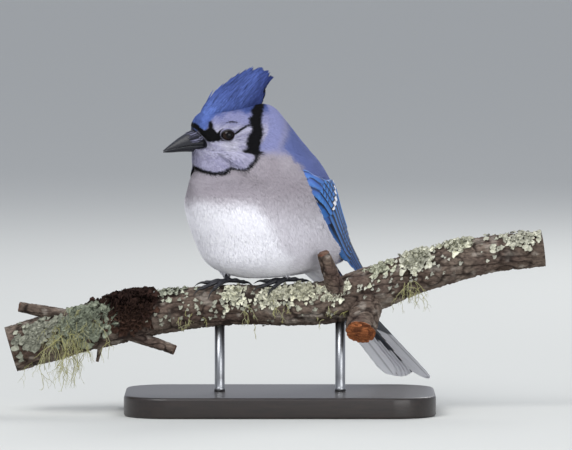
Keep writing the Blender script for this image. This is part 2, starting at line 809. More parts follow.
def tube_points(
    path: np.ndarray, radii: np.ndarray, sides: int, wave: np.ndarray | None = None
) -> np.ndarray:
    """Rings of points round a path.

    Args:
        path: its points.
        radii: one for each.
        sides: points round it.
        wave: extra radius for each ring and side.
    Returns:
        An array of rings, sides and x, y, z; each ring's frame is carried along without twisting.
    """
    way = np.gradient(path, axis=0)
    way /= np.linalg.norm(way, axis=1, keepdims=True)
    across = np.zeros_like(path)
    last = np.array([0.0, 1.0, 0.0]) if abs(way[0, 1]) < 0.9 else np.array([1.0, 0, 0])
    for i, w in enumerate(way):
        last = last - w * last.dot(w)
        last /= np.linalg.norm(last)
        across[i] = last
    up = np.cross(way, across)
    turn = np.linspace(0, 2 * np.pi, sides, endpoint=False)
    r = np.asarray(radii)[:, None] + (0 if wave is None else wave)
    return (
        path[:, None] + (r * np.cos(turn))[..., None] * across[:, None]
        + (r * np.sin(turn))[..., None] * up[:, None]
    )


def add_tube(batch: Batch, rings: np.ndarray, colours: np.ndarray) -> None:
    """Adds a closed tube of rings, its ends closed by fans.

    Args:
        batch: where it goes.
        rings: rings × sides × 3 points.
        colours: linear RGB for the points, or one for all.
    """
    count, sides = rings.shape[:2]
    paint = np.broadcast_to(colours, rings.shape).reshape(-1, 3)
    ends = np.stack([rings[0].mean(0), rings[-1].mean(0)])
    points = np.concatenate([rings.reshape(-1, 3), ends])
    paint = np.concatenate([paint, paint[[0, -1]]])
    j = np.arange(sides)
    k = (j + 1) % sides
    first, last = count * sides, count * sides + 1
    base = (count - 1) * sides
    start = batch.count
    batch.add(points, grid_faces(count, sides, True)[:, ::-1], paint)
    fans = np.concatenate(
        [np.stack([np.full(sides, first), k, j], 1), np.stack([np.full(sides, last), base + j, base + k], 1)]
    )
    batch.faces.append(fans[:, ::-1][:, ::-1] + start)


# The bird's body


class Plumage:
    """The skin and its coat of small feathers."""

    def __init__(self, rng: np.random.Generator) -> None:
        """Keeps the random source.

        Args:
            rng: a seeded generator.
        """
        self.rng = rng

    @staticmethod
    def flat(s: np.ndarray, v: np.ndarray) -> tuple[np.ndarray, ...]:
        """Surface points before the head's turn.

        Args:
            s: rings from the bill.
            v: round from the back (0) to the belly (pi) and on.
        Returns:
            f, l, z and the share of the turn.
        """
        r = along(RINGS, s)
        down = (1 - np.cos(v)) / 2
        bowed = np.sin(v) ** 2
        f = r[..., 0] * (1 - down) + r[..., 2] * down + r[..., 5] * bowed
        z = r[..., 1] * (1 - down) + r[..., 3] * down + r[..., 6] * bowed
        l = r[..., 4] * np.sin(v)
        # the face draws in to the bill, behind a line from the forehead to the gape and out to the chin
        line = np.interp(z, *FACE_LINE)
        bill = np.interp(f, BILL[:, 0], BILL[:, 4]) - 0.6
        drawn = smooth(-1.5, 2.5, f - line) * smooth(9, 20, f)
        return f, np.sign(l) * (np.abs(l) + (np.minimum(np.abs(l), bill) - np.abs(l)) * drawn), z, r[..., 7]

    def point(self, s: np.ndarray, v: np.ndarray) -> np.ndarray:
        """Surface points in the part's frame."""
        return turned_point(*self.flat(s, v))

    def normal(self, s: np.ndarray, v: np.ndarray) -> np.ndarray:
        """Outward normals, from small steps along s and v."""
        ds = self.point(s + 0.02, v) - self.point(s - 0.02, v)
        dv = self.point(s, v + 0.02) - self.point(s, v - 0.02)
        n = np.cross(dv, ds)
        return n / np.maximum(np.linalg.norm(n, axis=-1, keepdims=True), 1e-9)

    def last_step(self, v: np.ndarray) -> np.ndarray:
        """The way on past the last ring, for each whole ring, so that feathers there run on over the tail."""
        return (self.point(17 + 0 * v, v) - self.point(16.8 + 0 * v, v)) / 0.2

    @staticmethod
    def depth(s: np.ndarray) -> np.ndarray:
        """How far the skin lies inside the coat's ends, in millimetres."""
        return np.interp(s, [0, 2, 5, 9, 16, 17], [0.5, 0.8, 1.1, 1.7, 1.5, 1.0])

    def skin(self, batch: Batch, rows: int = 230, cols: int = 168) -> None:
        """Adds the one skin from bill to tail root.

        Args:
            batch: where it goes.
            rows: points along it.
            cols: points round it.
        """
        s, v = np.meshgrid(
            np.linspace(0.02, 17, rows), np.linspace(0, 2 * np.pi, cols, endpoint=False), indexing="ij"
        )
        p, _ = settle(self.point(s, v), True)
        p = p - self.normal(s, v) * self.depth(s)[..., None]
        f, l, z, _ = self.flat(s, v)
        add_tube(batch, p[:, ::-1], body_markings(p, f - SIDE_SLIP * np.abs(l), z, s)[:, ::-1] * 0.92)

    def seeds(self, count: int, low: float, high: float) -> tuple[np.ndarray, np.ndarray]:
        """Scatters roots evenly over the skin between two rings, by area."""
        s = self.rng.uniform(low, high, count * 4)
        v = self.rng.uniform(0, 2 * np.pi, count * 4)
        area = np.linalg.norm(
            np.cross(self.point(s + 0.02, v) - self.point(s, v), self.point(s, v + 0.02) - self.point(s, v)),
            axis=-1
        )
        keep = self.rng.uniform(0, np.quantile(area, 0.98), len(s)) < area
        return s[keep][:count], v[keep][:count]

    def tufts(
        self, batch: Batch, count: int, low: float, high: float, length: float, width: float, lift: float
    ) -> None:
        """Adds small feathers that lie along the body.

        Args:
            batch: where they go.
            count: how many to try.
            low: first ring.
            high: last ring.
            length: of one, in millimetres.
            width: of one, in millimetres.
            lift: how far a tip stands off the skin.
        """
        s, v = self.seeds(count, low, high)
        _, bare = settle(self.point(s, v), False)
        f, _, z, _ = self.flat(s, v)
        eye = np.hypot((f - EYE["f"]) / 1.2, z - EYE["z"]) < 3.5
        mouth = (f > np.interp(z, *FACE_LINE) + 0.6) & (s < 2.6)
        keep = (bare < 0.5) & ~(eye & (s < 5)) & ~mouth
        s, v, f, z = s[keep], v[keep], f[keep], z[keep]
        n = len(s)
        near = np.where(
            s < 5, np.clip(np.minimum(np.hypot(f - EYE["f"], z - EYE["z"]) / 12, (34 - f) / 14), 0.35, 1), 1
        )
        size = length * self.rng.uniform(0.7, 1.25, n) * near
        wide = width * self.rng.uniform(0.75, 1.2, n) * np.sqrt(near)
        speed = np.linalg.norm(self.point(s + 0.05, v) - self.point(s - 0.05, v), axis=-1) / 0.1
        round_ = np.linalg.norm(self.point(s, v + 0.05) - self.point(s, v - 0.05), axis=-1) / 0.1
        lean = self.rng.normal(0, 0.14, n)
        raised = self.rng.uniform(0.35, 1.0, n) * lift
        rows = []
        for t, w in zip((0, 0.4, 0.78, 1.0), (0.55, 1.0, 0.72, 0.0)):
            st = s + size * t / np.maximum(speed, 1.2)
            vt = v + lean * size * t / np.maximum(round_, 3)
            base, _ = settle(
                self.point(st, vt) + np.clip(st - 17, 0, RUN_ON)[:, None] * self.last_step(vt), False
            )
            normal = self.normal(np.minimum(st, 16.9), vt)
            middle = base + normal * (raised * t - self.depth(st) * (1 - t * 0.9))[:, None]
            if w == 0:
                rows.append(middle[:, None])
                continue
            way = self.point(np.minimum(st, 16.9) + 0.05, vt) - self.point(np.minimum(st, 16.9) - 0.05, vt)
            way /= np.maximum(np.linalg.norm(way, axis=1, keepdims=True), 1e-9)
            across = np.cross(normal, way) * (wide * w / 2)[:, None]
            rows.append(
                np.stack([middle - across, middle + normal * (0.16 * wide)[:, None], middle + across], 1)
            )
        points = np.concatenate(rows, 1)
        paint = []
        for t in (0.45, 0.85):
            sf = np.minimum(s + t * size / np.maximum(speed, 1.2), 17)
            mf, ml, mz, _ = self.flat(sf, v)
            paint.append(body_markings(self.point(sf, v), mf - SIDE_SLIP * np.abs(ml), mz, sf))
        paint = np.stack([paint[0]] * 6 + [paint[1]] * 4, 1)
        paint = paint * (1 + self.rng.normal(0, np.where(s < 5.2, 0.12, 0.05), n)[:, None, None])
        shade = np.array([0.93] * 3 + [0.98] * 3 + [1.01] * 3 + [1.03])
        shade[[1, 4, 7]] *= 0.97
        colours = paint * shade[None, :, None]
        quads = np.array([[0, 3, 4, 1], [1, 4, 5, 2], [3, 6, 7, 4], [4, 7, 8, 5]])
        tips = np.array([[6, 9, 7], [7, 9, 8]])
        offset = (np.arange(n) * 10)[:, None, None]
        uv = np.stack([v / (2 * np.pi) * 0.98 + 0.01, s / 17.2 * 0.98 + 0.01], -1)
        patch = (
            np.array(
                [[-1, -1], [0, -1], [1, -1], [-1, 0], [0, 0], [1, 0], [-1, 0.7], [0, 0.7], [1, 0.7], [0, 1]]
            )
            * 0.0015
        )
        start = batch.count
        batch.add(
            points, (quads[None] + offset).reshape(-1, 4), np.clip(colours, 0, 1),
            {"OFBake": uv[:, None] + patch[None]}
        )
        batch.faces.append((tips[None] + offset).reshape(-1, 3) + start)


# Vanes of wings, tail and crest


def add_vanes(
    batch: Batch, place: Callable[..., np.ndarray], count: int, half: np.ndarray, length: np.ndarray,
    paint: Callable[..., np.ndarray], thick: float = 0.28, rows: int = 40, cols: int = 9,
    round_from: float = 0.72
) -> None:
    """Adds thin closed feathers.

    Args:
        batch: where they go.
        place: takes t (0 to 1), across and up, each feathers × rows × cols, and gives points.
        count: how many feathers.
        half: half width of each.
        length: of each, for its own map.
        paint: takes t, across as a share (-1 to 1), feather number and whether the face is the upper
            one, and gives colours.
        thick: of a vane at its shaft.
        rows: points along it.
        cols: points across it.
        round_from: the share of its length where its tip begins to close.
    """
    t = np.linspace(0, 1, rows) ** 0.9
    x = np.linspace(-1, 1, cols)
    number = np.arange(count)[:, None, None]
    tt, xx = np.broadcast_arrays(t[None, :, None], x[None, None, :])
    tt, xx = np.repeat(tt, count, 0), np.repeat(xx, count, 0)
    close = np.sqrt(np.clip(1 - np.clip((tt - round_from) / (1 - round_from), 0, 1) ** 2.6, 0.0009, 1))
    wide = half[:, None, None] * np.minimum(1, 0.5 + 1.1 * tt) * close
    camber = 0.1 * half[:, None, None] * (1 - xx**2)
    shaft = 0.16 * np.exp(-((xx / 0.09) ** 2)) * (1 - tt)
    rim = thick * (1 - 0.75 * np.abs(xx) ** 3) * (1 - 0.6 * tt)
    ragged = 0.018 * half[:, None, None] * np.sin(tt * 91 + number * 2.1) * np.abs(xx) ** 3
    top = place(tt, wide * xx + ragged, camber + shaft + rim / 2)
    under = place(tt, wide * xx + ragged, camber - rim / 2)
    cell = int(math.ceil(math.sqrt(2 * count)))
    for face, points in ((True, top), (False, under)):
        index = np.arange(count) * 2 + (0 if face else 1)
        u0, v0 = (index % cell) / cell, (index // cell) / cell
        bake = np.stack(
            [
                u0[:, None, None] + (0.06 + 0.88 * (xx + 1) / 2) / cell,
                v0[:, None, None] + (0.04 + 0.92 * tt) / cell
            ],
            -1
        )
        vane = np.stack([wide * xx, tt * length[:, None, None]], -1)
        faces = (
            grid_faces(rows, cols)[None] + (np.arange(count) * rows * cols)[:, None, None]
        ).reshape(-1, 4)
        faces = faces[:, ::-1] if face else faces
        colours = np.clip(paint(tt, xx, number + 0 * tt.astype(int), face), 0, 1)
        batch.add(points, faces, colours, {"OFBake": bake, "Vane": vane})
    # rims join the two faces
    edge = np.concatenate(
        [
            np.arange(rows) * cols,
            (rows - 1) * cols + np.arange(1, cols),
            (np.arange(rows - 2, -1, -1)) * cols + cols - 1,
            np.arange(cols - 2, 0, -1),
        ]
    )
    nxt = np.roll(edge, -1)
    size = rows * cols
    a = (np.arange(count) * size)[:, None]
    under_start = count * size
    rim_faces = np.stack(
        [a + edge, a + nxt, under_start + a + nxt, under_start + a + edge], -1
    ).reshape(-1, 4)
    batch.faces.append(rim_faces + batch.count - 2 * count * size)


class Pattern(Enum):
    """How a wing or tail feather is marked."""

    FLIGHT = "flight"
    BARRED = "barred"
    COVERT = "covert"
    SCAPULAR = "scapular"


@dataclass(frozen=True)
class Tier:
    """One row of wing feathers, from the belly edge to the back.

    Attributes:
        name: of the row.
        count: of feathers.
        tips: how far their tips reach along the barrel.
        root: where they start.
        root_phi: first and last root round the barrel, in degrees.
        tip_phi: the same for tips.
        half: half width in millimetres.
        level: extra height of the row.
        pattern: its marking.
        bars: spacing of its bars in millimetres, or 0.
        white: length of its white tip in millimetres.
    """

    name: str
    count: int
    tips: tuple[float, ...]
    root: float
    root_phi: tuple[float, float]
    tip_phi: tuple[float, float]
    half: float
    level: float
    pattern: Pattern
    bars: float = 0.0
    white: float = 0.0


TIERS = (
    Tier(
        "primaries", 8, (68, 77, 84, 88, 87, 84, 79, 72), 36, (84, 58), (74, 50), 3.0, -0.35, Pattern.FLIGHT
    ),
    Tier(
        "secondaries", 7, (60, 60, 59, 57, 55, 53, 50), 4, (87, 50), (78, 44), 4.2, 0.0, Pattern.BARRED, 3.4,
        0.0
    ),
    Tier("tertials", 4, (50, 45, 39, 33), 4, (50, 34), (44, 30), 4.4, 0.35, Pattern.BARRED, 3.2, 2.2),
    Tier("primary coverts", 4, (33, 29, 24, 18), -4, (88, 82), (88, 82), 2.3, 0.3, Pattern.COVERT),
    Tier(
        "greater coverts", 9, (18, 20, 21, 21, 21, 20.5, 20, 19, 18), -8, (84, 38), (83, 38), 3.2, 0.5,
        Pattern.BARRED, 3.4, 4.8
    ),
    Tier("median coverts", 8, (1, 2, 3, 3, 3, 2, 2, 1), -14, (86, 42), (84, 40), 3.6, 0.65, Pattern.COVERT),
    Tier(
        "lesser coverts", 8, (-7, -6, -6, -6, -6, -7, -7, -8), -20, (86, 50), (84, 48), 3.4, 0.7,
        Pattern.COVERT
    ),
)


def wing_paint(tier: Tier, rng: np.random.Generator) -> Callable[..., np.ndarray]:
    """Makes the colouring of one row.

    Args:
        tier: the row.
        rng: a seeded generator.
    Returns:
        A function of t, x, feather number and face.
    """
    shift = rng.uniform(-0.5, 0.5, 64)
    tone = rng.normal(1, 0.05, 64)
    span = np.mean(tier.tips) - tier.root

    def paint(t: np.ndarray, x: np.ndarray, number: np.ndarray, upper: bool) -> np.ndarray:
        """Colours the points of this row."""
        from_tip = (1 - t) * span
        shape = t.shape + (3,)
        if not upper:
            return np.broadcast_to(Tint.TAIL_UNDER.rgb * 0.9, shape)
        if tier.pattern is Pattern.COVERT:
            colour = blend(np.broadcast_to(Tint.COVERT.rgb, shape), Tint.WING.rgb, 0.6 * t)
            colour = blend(colour, Tint.WING_EDGE.rgb, 0.4 * smooth(0.2, 0.9, x))
            colour = blend(colour, Tint.QUILL.rgb, 0.5 * smooth(0.2, 0.0, x))
        elif tier.pattern is Pattern.SCAPULAR:
            colour = blend(np.broadcast_to(Tint.MANTLE.rgb, shape), Tint.NAPE.rgb, 0.25 + 0.2 * np.abs(x))
        elif tier.pattern is Pattern.FLIGHT:
            colour = blend(
                np.broadcast_to(Tint.BLACK.rgb, shape), Tint.WING.rgb,
                smooth(0.56, 0.68, x) * smooth(1.0, 0.9, t)
            )
            colour = blend(colour, Tint.WING_EDGE.rgb, smooth(0.78, 0.92, x) * smooth(1.0, 0.85, t))
        else:
            colour = blend(
                np.broadcast_to(Tint.WING.rgb, shape), Tint.WING_EDGE.rgb, 0.55 * smooth(0.1, 0.9, x)
            )
            inner = 0.12 if tier.white else 0.42
            colour = blend(colour, Tint.BLACK.rgb, 0.9 * smooth(inner + 0.1, inner, x))
            phase = from_tip / tier.bars + 0.35 * np.abs(x) + shift[number]
            bar = (
                smooth(0.32, 0.4, np.abs((phase % 1) - 0.5))
                * smooth(tier.white + 1.0, tier.white + 1.6, from_tip)
            )
            bar = bar * np.where(number < tier.count * 0.2, 0.25, 0.97) * smooth(21, 17, from_tip)
            colour = blend(colour, Tint.BLACK.rgb, bar * smooth(1.1, 0.8, np.abs(x)))
            if tier.white:
                edge = tier.white * (0.75 + 0.35 * x) * np.clip((number - 1.0) / 1.5, 0.0, 1.0) - 0.4
                colour = blend(colour, Tint.BLACK.rgb, smooth(edge + 1.4, edge + 0.9, from_tip) * 0.9)
                colour = blend(colour, Tint.WHITE.rgb, smooth(edge + 0.2, edge - 0.3, from_tip))
        shaft = smooth(0.07, 0.02, np.abs(x)) * 0.6
        return blend(colour * tone[number][..., None], Tint.BLACK.rgb, shaft)

    return paint


class Wings:
    """Both folded wings, feather by feather, over a thin core."""

    def __init__(self, rng: np.random.Generator) -> None:
        """Keeps the random source."""
        self.rng = rng

    def core(self, batch: Batch, side: int) -> None:
        """Adds the plate that feathers grow from."""
        a, u = np.meshgrid(np.linspace(-22, 70, 52), np.linspace(0, 1, 24), indexing="ij")
        share = wing_share(a)
        inset = 1.6 / barrel_radius(a)
        phi = (along(WING_BACK_EDGE, share) + inset) * (1 - u) + (along(WING_BELLY_EDGE, share) - inset) * u
        shown = 0.25 + 0.75 * wing_open(a, phi)
        top = wing_point(
            side, a, phi, along(WING_CORE, share) * np.sin(np.pi * np.clip(u, 0.02, 0.98)) ** 0.4 * shown
        )
        under = wing_point(side, a, phi, 0.0 * a)
        rings = np.concatenate([top, under[:, ::-1]], 1)
        colours = blend(
            np.broadcast_to(Tint.COVERT.rgb, rings.shape), Tint.QUILL.rgb, np.repeat(smooth(5, 40, a), 2, 1)
        )
        add_tube(batch, rings if side > 0 else rings[:, ::-1], colours)

    def tier(self, batch: Batch, side: int, tier: Tier) -> None:
        """Adds one row, laid like shingles."""
        n = tier.count
        share = np.linspace(0, 1, n)[:, None, None]
        tips = (np.array(tier.tips) + self.rng.normal(0, 0.3, n))[:, None, None]
        half = tier.half * self.rng.uniform(0.95, 1.05, n)
        tilt = 0.42

        def place(t: np.ndarray, across: np.ndarray, up: np.ndarray) -> np.ndarray:
            """Lays this row over the barrel."""
            a = tier.root + (tips - tier.root) * t
            phi = np.radians(
                np.interp(share, [0, 1], tier.root_phi) * (1 - t) + np.interp(share, [0, 1], tier.tip_phi) * t
            )
            phi = phi + across / barrel_radius(a)
            out = smooth(0, 0.35, t)
            high = along(WING_CORE, wing_share(a)) + (tier.level + 0.75) * out - 0.7 * (1 - out)
            lift = high + tilt * out * across / tier.half + up
            shown = 0.25 + 0.75 * wing_open(a, phi)
            return wing_point(side, a, phi, np.maximum(lift, 0.1) * shown)

        length = tips[:, 0, 0] - tier.root
        rows = 64 if tier.bars else 26
        add_vanes(
            batch, place, n, half, length, wing_paint(tier, self.rng), rows=rows, cols=9,
            round_from=0.8 if length.mean() > 25 else 0.55
        )


class Tail:
    """The tail: six pairs of feathers and the coverts at their roots."""

    def __init__(self, rng: np.random.Generator) -> None:
        """Keeps the random source."""
        self.rng = rng

    @staticmethod
    def cone_height(u: np.ndarray, face: int) -> np.ndarray:
        """How far the coverts stand off the tail's middle at a share of their length."""
        return 5.2 * (1 - np.minimum(1, u)) ** 1.3 + 1.2 - face * np.minimum(1, u)

    def core(self, batch: Batch) -> None:
        """Adds the cone under the coverts."""
        u, turn = np.meshgrid(
            np.linspace(-0.05, 1, 24), np.linspace(0, 2 * np.pi, 48, endpoint=False), indexing="ij"
        )
        face = np.where(np.sin(turn) < 0, -1, 1)
        high = (5.2 * (1 - np.clip(u, 0, 1)) ** 1.3 + 1.2 - face * np.clip(u, 0, 1)) * np.sin(turn) * 0.93
        rings = tail_point(TAIL["start"] + 30 * u, (11.2 + 1.4 * u) * np.cos(turn), high)
        colours = blend(
            np.broadcast_to(Tint.WHITE.rgb * 0.8, rings.shape), Tint.RUMP.rgb, smooth(-0.1, 0.1, np.sin(turn))
        )
        add_tube(batch, rings[:, ::-1], colours[:, ::-1])

    def feathers(self, batch: Batch) -> None:
        """Adds the twelve tail feathers, the middle pair on top."""
        pairs = [
            (length, apart, pair, side) for pair, (length, apart) in enumerate(TAIL_PAIRS) for side in (1, -1)
        ]
        length, apart, pair, side = (np.array(col, float)[:, None, None] for col in zip(*pairs))
        root = TAIL["start"] + 5
        layer = 0.9 - 0.42 * (pair + np.where((pair > 0) | (side < 0), 1, 0)) + 0.25

        def place(t: np.ndarray, across: np.ndarray, up: np.ndarray) -> np.ndarray:
            """Lays the tail feathers of one side."""
            x = side * apart * (0.42 + 0.58 * t) + across
            return tail_point(root + (length - root) * t, x, layer - x * x / 190 + up)

        def paint(t: np.ndarray, x: np.ndarray, number: np.ndarray, upper: bool) -> np.ndarray:
            """Colours the tail feathers of one side."""
            from_tip = (1 - t) * (length - root)
            outer = x * side
            white = np.interp(pair, [0, 1, 2, 3, 4, 5], [0, 12, 24, 34, 40, 44]) * (0.9 if upper else 1.0)
            edge = white - 3.0 * (1 - np.abs(x)) * (pair > 3) - 1.5 * outer
            if upper:
                colour = blend(
                    np.broadcast_to(Tint.WING.rgb, t.shape + (3,)), Tint.WING_EDGE.rgb,
                    0.35 * smooth(0, 1, outer)
                )
                bars = smooth(0.30, 0.42, np.abs(((from_tip / 4.2 + 0.3 * np.abs(x)) % 1) - 0.5))
                colour = blend(colour, Tint.BLACK.rgb, bars * np.where(number < 24, 0.95, 0))
            else:
                colour = np.broadcast_to(Tint.TAIL_UNDER.rgb, t.shape + (3,))
                colour = blend(colour, Tint.QUILL.rgb, 0.75)
            colour = blend(colour, Tint.WHITE.rgb, smooth(edge + 0.8, edge - 0.8, from_tip))
            colour = blend(colour, Tint.QUILL.rgb * 1.4, 0.6 * smooth(1.2, 0.2, from_tip) * (pair < 1))
            return blend(colour, Tint.BLACK.rgb, 0.45 * smooth(0.06, 0.015, np.abs(x)))

        add_vanes(
            batch, place, len(pairs), np.interp(pair[:, 0, 0], [0, 5], [5.4, 6.2]), (length - root)[:, 0, 0],
            paint, thick=0.32, rows=96, cols=11, round_from=0.87
        )

    def coverts(self, batch: Batch) -> None:
        """Adds the coverts above and below the tail's root."""
        floors = {1: 2.3, -1: 3.9}
        for face in (1, -1):
            for row, (count, start, reach) in enumerate(
                ((9, -3.0, 15), (8, 2.0, 17), (7, 7.0, 18), (6, 12.0, 20))
            ):
                x0 = (np.linspace(-9.2, 9.2, count) + self.rng.normal(0, 0.3, count))[:, None, None]
                long = (reach * (1 if face > 0 else 1.3) + self.rng.normal(0, 0.8, count))[:, None, None]

                def place(t: np.ndarray, across: np.ndarray, up: np.ndarray) -> np.ndarray:
                    """Lays one row of coverts over the tail."""
                    s = start + long * t
                    x = x0 * (1 - 0.12 * t) + across
                    bulge = np.sqrt(1 - np.minimum(0.94, (x / 12.6) ** 2))
                    out = smooth(0, 0.4, t)
                    high = np.maximum(self.cone_height(np.maximum(s, 0) / 30, face), floors[face]) * bulge
                    return tail_point(
                        TAIL["start"] + s, x,
                        face * (high + 0.45 * out - 0.5 * (1 - out) + 0.12 * (3 - row) + up)
                    )

                def paint(t: np.ndarray, x: np.ndarray, number: np.ndarray, upper: bool) -> np.ndarray:
                    """Colours one row of coverts."""
                    base = Tint.RUMP.rgb if face > 0 else Tint.WHITE.rgb
                    colour = np.broadcast_to(base, t.shape + (3,))
                    tip = Tint.WING.rgb if face > 0 else Tint.FACE.rgb
                    return blend(colour, tip, 0.5 * smooth(0.5, 1, t) + 0.15 * np.sin(number * 1.7))

                add_vanes(
                    batch, place, count, np.full(count, 2.9), long[:, 0, 0], paint, rows=20, cols=7,
                    round_from=0.5
                )


class Crest:
    """The crest: long narrow feathers over a wedge on the crown."""

    def __init__(self, rng: np.random.Generator) -> None:
        """Samples the wedge so that its width can be looked up beside any point of its side."""
        self.rng = rng
        s, down = np.meshgrid(np.linspace(0, 6, 120), np.linspace(0, 1, 60), indexing="ij")
        self.side = along(CREST_FRONT, s) * (1 - down)[..., None] + along(CREST_REAR, s) * down[..., None]
        self.half = along(CREST_HALF, s) * np.sin(np.pi * down)
        self.tree = kdtree.KDTree(self.half.size)
        for i, (f, z) in enumerate(self.side.reshape(-1, 2)):
            self.tree.insert((f, z, 0), i)
        self.tree.balance()

    def wedge(self, batch: Batch) -> None:
        """Adds the wedge under the feathers."""
        s, down = np.meshgrid(np.linspace(0, 6, 60), np.linspace(0, 1, 24), indexing="ij")
        side = along(CREST_FRONT, s) * (1 - down)[..., None] + along(CREST_REAR, s) * down[..., None]
        half = along(CREST_HALF, s) * np.sin(np.pi * down) * 0.93
        left = turned_point(side[..., 0], half, side[..., 1])
        right = turned_point(side[..., 0], -half, side[..., 1])
        rings = np.concatenate([left, right[:, -2:0:-1]], 1)
        f, z = (np.concatenate([c, c[:, -2:0:-1]], 1) for c in (side[..., 0], side[..., 1]))
        add_tube(batch, rings, self.paint(f, z, rings) * 0.8)

    @staticmethod
    def paint(f: np.ndarray, z: np.ndarray, p: np.ndarray) -> np.ndarray:
        """Colours the crest: bright blue brow, deeper blue above, black down its rear edge."""
        rough = noise(p, 1.6, 21)
        colour = blend(
            np.broadcast_to(Tint.CREST.rgb, p.shape), Tint.BROW.rgb, smooth(8, 24, f) * smooth(112, 96, z)
        )
        ahead = f - np.interp(z, [95, 102, 110, 118, 122], [9, 3, -2, -6, -9])
        colour = blend(colour, Tint.CREST_DARK.rgb, 0.7 * smooth(2, -8, ahead) + 0.3 * np.maximum(rough, 0))
        rear = np.interp(z, [96, 100, 104, 112, 118, 124], [-5, -8.6, -10.6, -11.6, -13.8, -17])
        black = smooth(0.6, -0.6, f - rear + 0.9 * rough) * smooth(117, 111, z)
        return blend(colour, Tint.BLACK.rgb, black)

    @staticmethod
    def flow(
        root: np.ndarray, lean: np.ndarray, size: np.ndarray, stations: int
    ) -> tuple[np.ndarray, np.ndarray]:
        """Runs feathers up and back from their roots.

        Args:
            root: (f, z) of each.
            lean: extra rise of each, in radians.
            size: length of each.
            stations: how many points each gets.
        Returns:
            The points and the ways between them.
        """
        path, ways = [root], []
        for _ in range(stations - 1):
            rise = np.radians(np.interp(path[-1][:, 1], [94, 104, 114, 124], [57, 52, 46, 40])) + lean
            ways.append(np.stack([-np.cos(rise), np.sin(rise)], 1))
            path.append(path[-1] + ways[-1] * (size / (stations - 1))[:, None])
        return np.stack(path, 1), np.stack(ways + ways[-1:], 1)

    def feathers(self, batch: Batch, count: int = 1100) -> None:
        """Adds the crest's feathers on both sides, fanning up and back.

        Args:
            batch: where they go.
            count: how many on each side.
        """
        for side in (1, -1):
            s = self.rng.uniform(0.0, 5.6, count)
            down = self.rng.uniform(0.0, 0.97, count)
            root = along(CREST_FRONT, s) * (1 - down)[:, None] + along(CREST_REAR, s) * down[:, None]
            size = (
                np.interp(root[:, 1], [95, 104, 116, 122], [6.5, 11, 12, 7.5])
                * self.rng.uniform(0.75, 1.2, count)
            )
            wide = 0.5 * self.rng.uniform(0.7, 1.25, count)
            stations = np.linspace(0, 1, 7)
            lean = self.rng.normal(0, 0.05, count)
            lock = 0.5 - 0.5 * np.cos((root[:, 0] * 0.72 + root[:, 1] * 0.69) * 2 * np.pi / 4.4 + 0.6)
            spare = 2.8 * lock - 1.2 + self.rng.uniform(0, 0.5, count)
            for _ in range(12):
                path, ways = self.flow(root, lean, size, len(stations))
                over = (
                    (path[:, -1, 0] < np.interp(path[:, -1, 1], *CREST_LIMIT) + spare)
                    | (path[:, -1, 1] > 125.2 - spare)
                )
                size = np.where(over, np.maximum(size * 0.84, 2.0), size)
            half = np.empty(path.shape[:2])
            over = np.empty(path.shape[:2])
            for i in range(path.shape[0]):
                for j in range(path.shape[1]):
                    _, k, gap = self.tree.find((path[i, j, 0], path[i, j, 1], 0))
                    half[i, j] = self.half.flat[k]
                    over[i, j] = gap
            raised = (self.rng.uniform(0.1, 0.6, count))[:, None]
            lift = -0.5 * (1 - stations)[None] + raised * np.minimum(1, stations * 1.6)[None] + 0.1
            over = np.clip(over, 0, 2.4)
            profile = np.array([0.6, 1, 1, 0.95, 0.8, 0.5, 0.05])[None, :, None]
            perp = np.stack([-ways[..., 1], ways[..., 0]], -1) * (wide[:, None, None] * profile)
            columns = []
            for x, ridge in ((-1, 0), (0, 0.22), (1, 0)):
                q = path + perp * x
                lateral = (half * (1 - 0.35 * over / 2.4) + lift + ridge) * side
                columns.append(turned_point(q[..., 0], lateral, q[..., 1]))
            points = np.stack(columns, 2)
            n, m = count, len(stations)
            faces = (grid_faces(m, 3)[None] + (np.arange(n) * m * 3)[:, None, None]).reshape(-1, 4)
            mid = path[:, 3]
            colour = self.paint(mid[:, 0], mid[:, 1], points[:, 3, 1])
            colour = colour * (1 + self.rng.normal(0, 0.2, (n, 1)))
            shade = (
                np.linspace(0.78, 1.12, m)[None, :, None, None]
                * np.array([1.0, 0.86, 1.0])[None, None, :, None]
            )
            uv = np.stack([0.5 + side * (0.02 + 0.2 * down), 0.02 + 0.15 * s], -1)
            patch = np.stack(np.meshgrid(np.linspace(-1, 1, m), [-1, 0, 1], indexing="ij")[::-1], -1) * 0.0015
            batch.add(
                points, faces if side < 0 else faces[:, ::-1], np.clip(colour[:, None, None] * shade, 0, 1),
                {"OFBake": uv[:, None, None] + patch[None]}
            )


# Bill, eyes and feet


